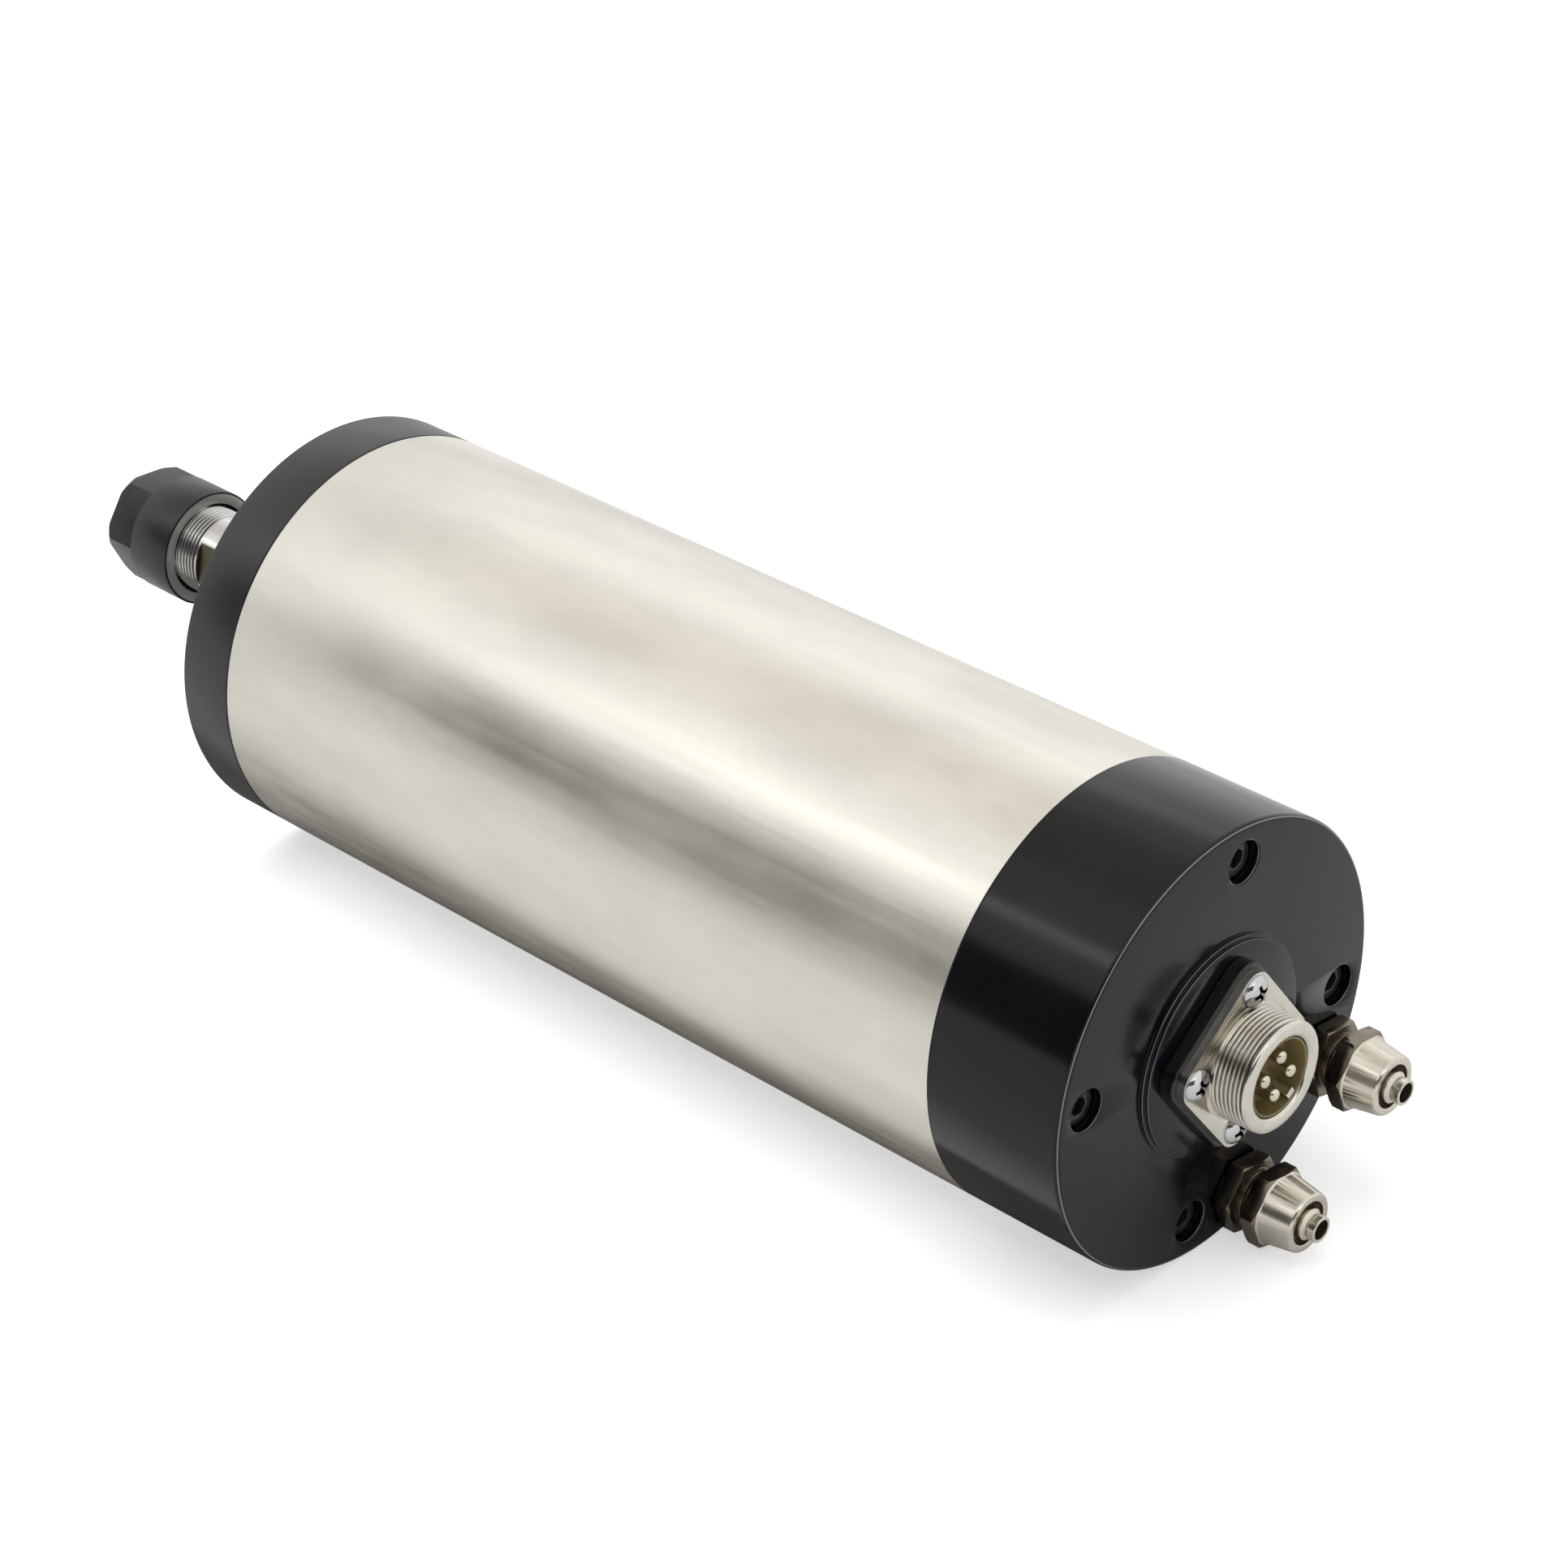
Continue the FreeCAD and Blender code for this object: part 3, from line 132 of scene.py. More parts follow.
def hex_bar(name, width, low, high, angle, x=0.0, z=0.0):
    """A hexagonal bar; width is across its flats."""
    drop_selection()
    bpy.ops.mesh.primitive_circle_add(
        vertices=6, radius=width / math.sqrt(3) * MM, location=(x * MM, along(low), z * MM),
        rotation=(math.pi / 2, math.radians(30 - angle), 0), fill_type="NGON")
    piece = bpy.context.object
    piece.name = name
    bpy.ops.object.mode_set(mode="EDIT")
    bpy.ops.mesh.extrude_region_move(TRANSFORM_OT_translate={"value": (0, (high - low) * MM, 0)})
    return settle(piece)


def block(name, size, place, turn):
    """A block with its middle at place; size and place are x, y, z, and it turns about the spindle's axis."""
    drop_selection()
    bpy.ops.mesh.primitive_cube_add(
        size=1, location=(place[0] * MM, along(place[1]), place[2] * MM),
        rotation=(0, -math.radians(turn), 0))
    piece = bpy.context.object
    piece.name = name
    piece.scale = [side * MM for side in size]
    return settle(piece)


def side_block(name, size, radius, y, turn):
    """A block at a distance from the axis, with its first side pointing outwards."""
    x, z = ring_place(radius, turn)
    return block(name, size, (x, y, z), turn)


def combine(piece, tool, kind="DIFFERENCE"):
    """Cuts or trims a piece with a tool, which is then thrown away."""
    take(piece)
    step = piece.modifiers.new("cut", "BOOLEAN")
    step.operation = kind
    step.object = tool
    step.solver = "EXACT"
    bpy.ops.object.modifier_apply(modifier=step.name)
    bpy.data.objects.remove(tool)
    return piece


def soften(piece, width, segments=2, angle=35):
    """Breaks the sharp edges by a small round."""
    take(piece)
    step = piece.modifiers.new("edges", "BEVEL")
    step.width = width * MM
    step.segments = segments
    step.limit_method = "ANGLE"
    step.angle_limit = math.radians(angle)
    bpy.ops.object.modifier_apply(modifier=step.name)
    return settle(piece)


def copied(piece, name, turn=0.0, x=0.0, z=0.0):
    """A copy with its own mesh, turned about the spindle axis and shifted sideways."""
    twin = piece.copy()
    twin.data = piece.data.copy()
    twin.name = name
    bpy.context.collection.objects.link(twin)
    twin.rotation_euler = (0, -math.radians(turn), 0)
    twin.location = (x * MM, 0, z * MM)
    take(twin)
    bpy.ops.object.transform_apply(location=True, rotation=True, scale=True)
    return twin


def joined(piece, *more):
    """Makes the other pieces part of the first one."""
    drop_selection()
    for item in more:
        item.select_set(True)
    piece.select_set(True)
    bpy.context.view_layer.objects.active = piece
    bpy.ops.object.join()
    return piece


def ringed(piece, name, count):
    """Copies a piece evenly round the axis and joins all of it."""
    joined(piece, *[copied(piece, name + "_%d" % i, turn=360 / count * i) for i in range(1, count)])
    piece.name = name
    return piece


def helix(name, crest, root, low, high, pitch, steps, flat, valley):
    """A thread's ridge from low to high, wound round a core that it sinks into.

    The ridge leaves the share valley of the pitch free at its root; its crest is as wide as the share flat.
    """
    drop_selection()
    middle = (0, along(low), 0)
    depth = crest - root
    half_way = (crest + root) / 2 * MM
    bpy.ops.mesh.primitive_plane_add(size=1, location=middle)
    piece = bpy.context.object
    piece.name = name
    bpy.ops.object.mode_set(mode="EDIT")
    bpy.ops.transform.resize(value=(depth * MM, pitch * (1 - valley) * MM, 1), center_override=middle)
    bpy.ops.transform.translate(value=(half_way, 0, 0))
    bpy.ops.object.mode_set(mode="OBJECT")
    for corner in piece.data.vertices:
        corner.select = corner.co.x > half_way
    for item in list(piece.data.edges) + list(piece.data.polygons):
        item.select = False
    bpy.ops.object.mode_set(mode="EDIT")
    bpy.context.tool_settings.mesh_select_mode = (True, False, False)
    bpy.ops.transform.resize(value=(1, flat / (1 - valley), 1), center_override=middle)
    bpy.ops.mesh.select_all(action="SELECT")
    bpy.ops.mesh.delete(type="ONLY_FACE")
    bpy.ops.object.mode_set(mode="OBJECT")
    step = piece.modifiers.new("winding", "SCREW")
    step.axis = "Y"
    step.angle = 2 * math.pi
    step.screw_offset = pitch * MM
    step.iterations = int((high - low) / pitch)
    step.steps = steps
    step.render_steps = steps
    bpy.ops.object.modifier_apply(modifier=step.name)
    bpy.ops.object.mode_set(mode="EDIT")
    bpy.ops.mesh.select_all(action="SELECT")
    bpy.ops.mesh.fill_holes(sides=4)
    bpy.ops.object.mode_set(mode="OBJECT")
    return soften(settle(piece, 40), depth * 0.18, 2, 30)


# finishes

EVEN = (1, 1, 1)
ROUND = (0.02, 1, 0.02)
LENGTHWISE = (1, 0.03, 1)
DUST = (0.45, 0.43, 0.4, 1)
PAST_BODY = 40


def add_node(tree, kind, inputs, **settings):
    """Adds a node with its settings; each input gets a plain value or another node's output."""
    node = tree.nodes.new(kind)
    for setting, value in settings.items():
        setattr(node, setting, value)
    for socket, value in inputs.items():
        if isinstance(value, bpy.types.NodeSocket):
            tree.links.new(value, node.inputs[socket])
        else:
            node.inputs[socket].default_value = value
    return node


def calculated(tree, operation, *values):
    """The output of a math node; each value is a number or another node's output."""
    return add_node(tree, "ShaderNodeMath", dict(enumerate(values)), operation=operation).outputs["Value"]


def ramped(tree, value, low=0.0, high=1.0, first=0.0, last=1.0):
    """Rises from first to last while the value goes from low to high."""
    ramp = add_node(tree, "ShaderNodeMapRange", {
        "Value": value, "From Min": low, "From Max": high, "To Min": first, "To Max": last})
    return ramp.outputs["Result"]


def mixed(tree, share, first, second, **settings):
    """The first number or colour where share is 0, the second where it is 1."""
    mix = add_node(tree, "ShaderNodeMix", {"Factor": share, "A": first, "B": second}, **settings)
    return mix.outputs["Result"]


def noise(tree, place, stretch, fineness, detail):
    """Noise that is drawn out along the axes whose stretch is below 1."""
    drawn = add_node(tree, "ShaderNodeMapping", {"Vector": place, "Scale": stretch}).outputs["Vector"]
    cloud = add_node(tree, "ShaderNodeTexNoise", {"Vector": drawn, "Scale": fineness, "Detail": detail})
    return cloud.outputs["Fac"]


def fed_by(socket):
    """The output that feeds a socket, or else the socket's own value."""
    return socket.links[0].from_socket if socket.is_linked else socket.default_value


def finish(name, colour, metal, rough, mottle, grain, specks=None, specular=0.5, drift=EVEN):
    """A surface with cloudy colour, a directed grain in gloss and relief, and fine specks.

    rough is the middle roughness and its swing, mottle the depth and fineness of the clouds, which are drawn
    out by drift, grain its direction, fineness and depth, and specks their size and fineness.
    """
    material = bpy.data.materials.new(name)
    material.use_nodes = True
    tree = material.node_tree
    shader = tree.nodes["Principled BSDF"]
    shader.inputs["Metallic"].default_value = metal
    shader.inputs["Specular IOR Level"].default_value = specular
    place = add_node(tree, "ShaderNodeTexCoord", {}).outputs["Object"]
    depth, fineness = mottle
    clouds = noise(tree, place, drift, fineness, 5)
    darker = [part * (1 - depth) for part in colour] + [1]
    lighter = [min(1, part * (1 + depth)) for part in colour] + [1]
    tone = mixed(tree, ramped(tree, clouds, 0.35, 0.65), darker, lighter, data_type="RGBA")
    direction, fineness, depth = grain
    streaks = noise(tree, place, direction, fineness, 4)
    uneven = calculated(tree, "MULTIPLY_ADD", clouds, 0.5, calculated(tree, "MULTIPLY", streaks, 0.5))
    middle, swing = rough
    gloss = ramped(tree, uneven, 0.3, 0.7, max(0.02, middle - swing), middle + swing)
    tree.links.new(gloss, shader.inputs["Roughness"])
    relief = add_node(tree, "ShaderNodeBump", {"Strength": depth, "Distance": 0.2 * MM, "Height": streaks})
    tree.links.new(relief.outputs["Normal"], shader.inputs["Normal"])
    if specks:
        size, fineness = specks
        grit = add_node(tree, "ShaderNodeTexVoronoi", {"Vector": place, "Scale": fineness})
        dusty = calculated(tree, "LESS_THAN", grit.outputs["Distance"], size)
        tone = mixed(tree, dusty, tone, DUST, data_type="RGBA")
    tree.links.new(tone, shader.inputs["Base Color"])
    return material


def grazing(material, most):
    """Lets the surface shine more where it is seen at a low angle."""
    tree = material.node_tree
    level = tree.nodes["Principled BSDF"].inputs["Specular IOR Level"]
    facing = add_node(tree, "ShaderNodeLayerWeight", {}).outputs["Facing"]
    tree.links.new(ramped(tree, facing, 0.4, 0.72, level.default_value, most), level)


def zone(material, low, high, colour, specular, rough, reach=PAST_BODY):
    """Gives the surface between two levels, as far as reach from the axis, its own colour and shine."""
    tree = material.node_tree
    place = add_node(tree, "ShaderNodeTexCoord", {}).outputs["Object"]
    apart = add_node(tree, "ShaderNodeSeparateXYZ", {"Vector": place}).outputs
    between = calculated(tree, "COMPARE", apart["Y"], along((low + high) / 2), (high - low) / 2 * MM)
    squares = [calculated(tree, "MULTIPLY", apart[axis], apart[axis]) for axis in ("X", "Z")]
    near = calculated(tree, "LESS_THAN", calculated(tree, "ADD", *squares), (reach * MM) ** 2)
    mask = calculated(tree, "MULTIPLY", between, near)
    sockets = tree.nodes["Principled BSDF"].inputs
    base, gloss, level = sockets["Base Color"], sockets["Roughness"], sockets["Specular IOR Level"]
    tree.links.new(mixed(tree, mask, fed_by(base), (*colour, 1), data_type="RGBA"), base)
    tree.links.new(mixed(tree, mask, fed_by(gloss), rough), gloss)
    tree.links.new(ramped(tree, mask, first=fed_by(level), last=specular), level)


def painted_groove_shade(material, reach, darkest):
    """Paints shade into narrow grooves and recesses: darkens the base colour where nearby surfaces shelter
    it.
    """
    tree = material.node_tree
    base = tree.nodes["Principled BSDF"].inputs["Base Color"]
    shelter = add_node(tree, "ShaderNodeAmbientOcclusion", {"Distance": reach * MM}, samples=8).outputs["AO"]
    shade = ramped(tree, shelter, 0.35, 0.85, darkest)
    tree.links.new(mixed(tree, 1, fed_by(base), shade, data_type="RGBA", blend_type="MULTIPLY"), base)


sleeve_satin = finish("sleeve_satin_steel", (0.80, 0.772, 0.695), metal=1, rough=(0.38, 0.075),
                      mottle=(0.06, 110), drift=(1, 0.35, 1), grain=(LENGTHWISE, 520, 0.12),
                      specks=(0.04, 1500))

cap_gloss = finish("rear_cap_black_gloss", (0.0028, 0.0028, 0.004), metal=0, rough=(0.17, 0.04),
                   mottle=(0.25, 80), grain=(LENGTHWISE, 260, 0.015), specks=(0.02, 900), specular=0.33)
grazing(cap_gloss, 1.0)
zone(cap_gloss, -1.5, 0.3, (0.003, 0.003, 0.006), specular=0.34, rough=0.16)
# painted highlights: thin light, shiny bands on the edges of the rim, the wells and the two steps of the boss
for low, high in ((0.12, 0.24), (-0.5, -0.42), (-1.05, -0.97)):
    zone(cap_gloss, low, high, (0.16, 0.16, 0.165), specular=0.9, rough=0.25)

charcoal = finish("front_cap_charcoal", (0.014, 0.0138, 0.0145), metal=0, rough=(0.34, 0.05),
                  mottle=(0.15, 80), grain=(LENGTHWISE, 300, 0.03))

nut_oxide = finish("nut_black_oxide", (0.03, 0.029, 0.032), metal=0.4, rough=(0.36, 0.05), mottle=(0.12, 160),
                   grain=(ROUND, 3000, 0.03))
# bright ring on the nut's rear face
zone(nut_oxide, 204.7, 204.95, (0.46, 0.45, 0.43), specular=0.9, rough=0.3, reach=9.15)

ground_steel = finish("ground_steel", (0.66, 0.65, 0.63), metal=1, rough=(0.22, 0.03), mottle=(0.05, 200),
                      grain=(ROUND, 3000, 0.008))
# the spanner flats of the shaft are darker and duller
zone(ground_steel, 189.3, 200.45, (0.16, 0.135, 0.095), specular=0.5, rough=0.55, reach=6.93)
# painted shade darkens the grooves of the nose thread and the other narrow recesses of the shaft and collet
painted_groove_shade(ground_steel, 0.5, 0.3)

nickel = finish("nickel_plate", (0.70, 0.66, 0.565), metal=1, rough=(0.22, 0.04), mottle=(0.06, 260),
                grain=(ROUND, 3000, 0.012))
# the hexagons of the hose fittings and of their nuts are darker than the cones
zone(nickel, -7.2, 0.2, (0.24, 0.208, 0.155), specular=0.5, rough=0.24)
# painted shade darkens the thread grooves and narrow recesses of the hose fittings and their nuts
painted_groove_shade(nickel, 0.6, 0.25)

flange_nickel = finish("flange_nickel", (0.70, 0.67, 0.59), metal=1, rough=(0.19, 0.04), mottle=(0.05, 300),
                       grain=(EVEN, 2500, 0.02))
# painted shade darkens the grooves of the barrel thread and the flange's narrow recesses
painted_groove_shade(flange_nickel, 0.5, 0.4)

zinc = finish("zinc_plate", (0.62, 0.63, 0.63), metal=1, rough=(0.12, 0.04), mottle=(0.05, 400),
              grain=(EVEN, 2500, 0.03))
# painted shade darkens the cross recesses of the flange screws almost to black
painted_groove_shade(zinc, 0.8, 0.06)

screw_black = finish("screw_black_oxide", (0.016, 0.016, 0.017), metal=0, rough=(0.3, 0.06),
                     mottle=(0.2, 300), grain=(EVEN, 1500, 0.03))
gasket_black = finish("gasket_black", (0.004, 0.004, 0.004), metal=0, rough=(0.22, 0.06), mottle=(0.2, 200),
                      grain=(EVEN, 1200, 0.03), specks=(0.04, 900))
moulded_brown = finish("insulator_brown", (0.23, 0.18, 0.075), metal=0, rough=(0.4, 0.06), mottle=(0.25, 300),
                       grain=(LENGTHWISE, 900, 0.05), drift=(1, 0.05, 1))
pin_silver = finish("pin_silver", (0.72, 0.66, 0.54), metal=1, rough=(0.2, 0.05), mottle=(0.05, 300),
                    grain=(ROUND, 3000, 0.02))
fibre = finish("washer_fibre", (0.02, 0.018, 0.016), metal=0, rough=(0.6, 0.08), mottle=(0.2, 300),
               grain=(EVEN, 1500, 0.1))
turned_aluminium = finish("turned_aluminium", (0.62, 0.62, 0.63), metal=1, rough=(0.3, 0.06),
                          mottle=(0.05, 60), grain=(ROUND, 2500, 0.08))
laminated = finish("laminated_core", (0.24, 0.24, 0.25), metal=1, rough=(0.45, 0.08), mottle=(0.15, 80),
                   grain=(ROUND, 3500, 0.3))
copper = finish("varnished_copper", (0.55, 0.21, 0.08), metal=1, rough=(0.3, 0.08), mottle=(0.2, 200),
                grain=(LENGTHWISE, 2500, 0.5))
bearing_steel = finish("bearing_steel", (0.6, 0.6, 0.61), metal=1, rough=(0.12, 0.04), mottle=(0.04, 200),
                       grain=(ROUND, 4000, 0.02))
cage_resin = finish("cage_resin", (0.35, 0.19, 0.07), metal=0, rough=(0.4, 0.06), mottle=(0.15, 300),
                    grain=(EVEN, 1500, 0.05))
rubber = finish("seal_rubber", (0.012, 0.012, 0.012), metal=0, rough=(0.55, 0.08), mottle=(0.2, 200),
                grain=(EVEN, 1500, 0.1))
lead_red = finish("lead_insulation", (0.38, 0.03, 0.02), metal=0, rough=(0.35, 0.05), mottle=(0.1, 200),
                  grain=(EVEN, 1500, 0.05))


# housing

def clamping_sleeve():
    """A plain tube with broken edges."""
    edge = [(BODY_RADIUS - EDGE, 0), (BODY_RADIUS - 0.08, 0.07), (BODY_RADIUS, EDGE)]
    rear_edge = [(radius, REAR_JOINT + back) for radius, back in edge]
    front_edge = [(radius, FRONT_JOINT - back) for radius, back in reversed(edge)]
    middle = [(BODY_RADIUS, -REAR_FACE)]
    bore = [(SLEEVE_BORE, REAR_JOINT), (SLEEVE_BORE, FRONT_JOINT)]
    return turned("clamping_sleeve", bore[:1] + rear_edge + middle + front_edge + bore[1:],
                  hollow=True, steps=256)


def screw_wells(face, direction, end):
    """Four counterbores with clearance holes, as one cutter; end is how deep the holes go."""
    shape = [(3.35, -0.5), (3.35, 0), (3.1, 0.12), (3.0, 0.35), (3.0, 4.4), (1.7, 4.4), (1.7, end)]
    well = turned("well", [(radius, face + direction * depth) for radius, depth in shape],
                  x=SCREW_X, z=SCREW_Z, steps=64)
    return ringed(well, "wells", 4)


def rear_end_cap():
    """A cap with a round rim, a stepped boss behind the connector and four screw wells."""
    boss = [(CONNECTOR_HOLE, BOSS_FACE), (15.42, BOSS_FACE), (15.54, -1.06), (15.6, -0.95), (15.6, -0.62),
            (15.67, -0.56), (15.94, -0.55), (16.05, -0.51), (16.1, -0.4), (16.1, -0.06), (16.16, 0)]
    turns = [math.radians(angle) for angle in range(0, 91, 15)]
    rim = [(BODY_RADIUS - CAP_RIM + CAP_RIM * math.sin(turn), CAP_RIM - CAP_RIM * math.cos(turn))
           for turn in turns]
    front = [(BODY_RADIUS, REAR_JOINT - EDGE), (BODY_RADIUS - EDGE, REAR_JOINT), (SPIGOT_RADIUS, REAR_JOINT),
             (SPIGOT_RADIUS, 28), (23.5, 28), (23.5, 12), (CONNECTOR_HOLE, 12)]
    cap = turned("rear_end_cap", boss + rim + front, hollow=True, steps=256)
    combine(cap, screw_wells(0, 1, 30))
    return settle(cap)


def front_end_cap():
    """A cap with a bearing seat behind, a hole for the shaft and four screw wells."""
    cap = turned("front_end_cap", [
        (11.2, FRONT_FACE), (32.2, FRONT_FACE), (32.42, 171.92), (BODY_RADIUS, 171.7),
        (BODY_RADIUS, FRONT_JOINT + EDGE), (BODY_RADIUS - EDGE, FRONT_JOINT), (SPIGOT_RADIUS, FRONT_JOINT),
        (SPIGOT_RADIUS, 156), (20, 156), (20, 138.5), (16.05, 138.5), (16.05, 161.5), (11.2, 161.5)],
        hollow=True, steps=256)
    combine(cap, screw_wells(FRONT_FACE, -1, 22))
    return settle(cap)


def socket_screws(name, face, direction, end):
    """Four socket head screws; direction is +1 where they point at the nose."""
    under_head = face + direction * 3.0
    screw = turned(name, [
        (2.3, face), (2.6, face + direction * 0.08), (2.75, face + direction * 0.35), (2.75, under_head),
        (1.5, under_head), (1.5, end)], x=SCREW_X, z=SCREW_Z, steps=64)
    low, high = sorted((face - direction * 0.5, face + direction * 1.6))
    combine(screw, hex_bar("key_way", 2.5, low, high, SCREW_ANGLE, SCREW_X, SCREW_Z))
    soften(screw, 0.12, 3, 50)
    return ringed(screw, name, 4)


# power connector

def square_plate(name, side, corner, low, high):
    """A plate with rounded corners, one of them at the flange angle."""
    drop_selection()
    bpy.ops.mesh.primitive_cube_add(size=1, location=(0, along((low + high) / 2), 0))
    plate = bpy.context.object
    plate.name = name
    plate.scale = (side * MM, (high - low) * MM, side * MM)
    bpy.ops.object.transform_apply(location=True, rotation=True, scale=True)
    for edge in plate.data.edges:
        start, end = (plate.data.vertices[i].co for i in edge.vertices)
        edge.select = abs(start.y - end.y) > 0.5 * (high - low) * MM
    for item in list(plate.data.vertices) + list(plate.data.polygons):
        item.select = False
    bpy.context.tool_settings.mesh_select_mode = (False, True, False)
    bpy.ops.object.mode_set(mode="EDIT")
    bpy.ops.mesh.bevel(offset=corner * MM, segments=12)
    bpy.ops.object.mode_set(mode="OBJECT")
    bpy.context.tool_settings.mesh_select_mode = (True, False, False)
    plate.rotation_euler = (0, -math.radians(FLANGE_ANGLE - 45), 0)
    return settle(plate)


def flange_gasket():
    """A soft plate between the rear cap's boss and the connector."""
    gasket = square_plate("flange_gasket", 21.4, 3.3, GASKET_FACE, BOSS_FACE)
    combine(gasket, turned("opening", [(CONNECTOR_HOLE, -4), (CONNECTOR_HOLE, 0)]))
    return soften(gasket, 0.25, 3, 50)


def connector_shell():
    """A square flange with four screw holes and a threaded barrel."""
    flange = square_plate("connector_flange", 20.2, 3.1, FLANGE_FACE, GASKET_FACE)
    combine(flange, turned("opening", [(6.9, -6), (6.9, 0)]))
    hole = turned("hole", [(1.4, -6), (1.4, 0)], x=FLANGE_SCREW_X, z=FLANGE_SCREW_Z, steps=48)
    combine(flange, ringed(hole, "holes", 4))
    soften(flange, 0.14, 2, 50)
    lip = [(5.8, -10.3), (5.86, -10.5), (6.05, -10.7), (6.4, -10.85), (6.9, -10.9), (7.4, -10.84),
           (7.78, -10.68), (7.96, -10.48), (8.0, -10.3), (7.9, -10.25), (7.7, -10.2)]
    foot = [(7.7, -5.1), (7.8, -4.9), (8.05, -4.75), (8.4, FLANGE_FACE), (8.4, -4.0), (7.2, -4.0), (7.2, 4.6),
            (5.8, 4.6)]
    barrel = turned("barrel", lip + foot, hollow=True, steps=128)
    thread = helix("barrel_thread", crest=8.02, root=7.66, low=-9.95, high=-5.18, pitch=0.68,
                   steps=112, flat=0.28, valley=0.05)
    return joined(flange, barrel, thread)


def pin_insulator():
    """A cup with a raised edge, from whose floor the pins stand up."""
    return turned("pin_insulator", [
        (5.0, -6.9), (5.3, -6.9), (5.38, -7.0), (5.4, -10.3), (5.48, -10.4), (5.68, -10.4), (5.75, -10.3),
        (5.75, 5.1)])


def contact_pins():
    x, z = ring_place(PIN_CIRCLE, PIN_ANGLE)
    pin = turned("contact_pin", [
        (0.3, -10.5), (0.62, -10.42), (0.85, -10.22), (0.97, -9.95), (1.0, -9.7), (1.0, 8.1)],
        x=x, z=z, steps=40)
    return ringed(pin, "contact_pins", 4)


def locating_key():
    return soften(side_block("locating_key", (1.0, 3.4, 1.5), 4.85, -8.6, KEY_ANGLE), 0.12, 2, 50)


def flange_screws():
    """Four domed screws with a cross recess."""
    dome = [(0.4, -5.8), (0.9, -5.75), (1.35, -5.62), (1.75, -5.41), (2.05, -5.14), (2.24, -4.88),
            (2.3, FLANGE_FACE)]
    screw = turned("flange_screw", dome + [(1.25, FLANGE_FACE), (1.25, 3.3)],
                   x=FLANGE_SCREW_X, z=FLANGE_SCREW_Z, steps=56)
    for quarter in (0, 90):
        combine(screw, block("recess", (2.6, 2.0, 0.6), (FLANGE_SCREW_X, -5.85, FLANGE_SCREW_Z),
                             FLANGE_ANGLE + 20 + quarter))
    combine(screw, turned("recess_core", [(0.72, -6.2), (0.62, -5.5), (0.3, -4.8)],
                          x=FLANGE_SCREW_X, z=FLANGE_SCREW_Z, steps=32))
    soften(screw, 0.06, 2, 45)
    return ringed(screw, "flange_screws", 4)


# hose fittings, made on the spindle axis and copied to both ports

def seal_washer():
    return turned("washer", [(3.1, WASHER_FACE), (4.5, WASHER_FACE), (4.6, -0.2), (4.6, 0), (3.1, 0)],
                  hollow=True, steps=72)


def hose_fitting():
    """A hexagon with rounded ends, a threaded stem and a barb for the hose."""
    hexagon = hex_bar("screwed_hex", 10.0, -2.8, WASHER_FACE, HEX_ANGLE)
    envelope = turned("envelope", [
        (5.1, -3.3), (5.1, -2.81), (5.85, -2.45), (5.85, -0.5), (5.5, -0.29), (5.5, 0)])
    combine(hexagon, envelope, "INTERSECT")
    soften(hexagon, 0.07, 2, 25)
    barb = [(1.45, -14.15), (1.5, -14.2), (1.8, -14.2), (1.9, -14.1), (1.9, -13.15), (1.75, -13.0),
            (1.75, -12.75), (2.2, -12.4), (2.32, -12.3), (2.35, -12.2), (2.35, -9.0)]
    threaded = [(3.9, -9.0), (4.1, -8.8), (4.02, -8.7), (4.02, -2.9), (4.3, -2.7), (4.3, -1.6), (3.0, -1.5),
                (3.0, 8.0), (1.45, 8.0)]
    stem = turned("stem", barb + threaded, hollow=True, steps=72)
    thread = helix("stem_thread", crest=4.2, root=3.96, low=-8.6, high=-2.9, pitch=0.6,
                   steps=48, flat=0.36, valley=0.04)
    return joined(hexagon, stem, thread)


def hose_nut():
    """A hexagon that runs out into a cone with a rounded mouth for the hose."""
    outside = [(4.25, -4.7), (5.5, -4.7), (6.05, -5.0), (6.05, -6.85), (5.22, -7.3), (5.08, -7.4),
               (4.45, -11.62), (4.38, -11.85)]
    mouth = [(4.2, -12.05), (3.95, -12.1), (3.4, -12.1), (3.24, -12.02), (3.2, -11.85), (3.2, -10.5),
             (4.25, -9.5)]
    nut = turned("cap_nut", outside + mouth, hollow=True, steps=128)
    combine(nut, hex_bar("hex_trim", 10.4, -13.0, -4.0, HEX_ANGLE), "INTERSECT")
    return soften(nut, 0.07, 2, 24)


# nose

def spindle_shaft():
    """A stepped shaft with a tapered mouth, two spanner flats and the nose thread."""
    seats = [(6.0, 27), (6.0, 38.8), (7.2, 38.8), (7.2, 51), (8.0, 51), (8.0, 133.5), (9.0, 133.5),
             (9.0, 141.5), (7.5, 141.5), (7.5, 171.7), (7.3, FRONT_FACE)]
    nose = [(7.0, 172.1), (7.0, 200.2), (6.9, 200.35), (6.68, 200.5), (6.68, 212.8), (6.0, 213.4)]
    mouth = [(5.7, 213.4), (5.6, 213.3), (3.23, 196.4), (3.2, 196.2), (3.2, 176.4)]
    shaft = turned("spindle_shaft", seats + nose + mouth, steps=128)
    for turn in SHAFT_FLATS:
        combine(shaft, side_block("flat_cutter", (4, 11, 20), 8.0, 194.9, turn))
    settle(shaft)
    thread = helix("nose_thread", crest=7.02, root=6.6, low=200.9, high=213.0, pitch=0.75,
                   steps=112, flat=0.18, valley=0.08)
    return joined(shaft, thread)


def dust_slinger():
    return turned("dust_slinger", [
        (7.55, 166), (10.6, 166), (10.8, 166.2), (10.8, 170.3), (10.5, 170.6), (7.55, 170.6)], hollow=True)


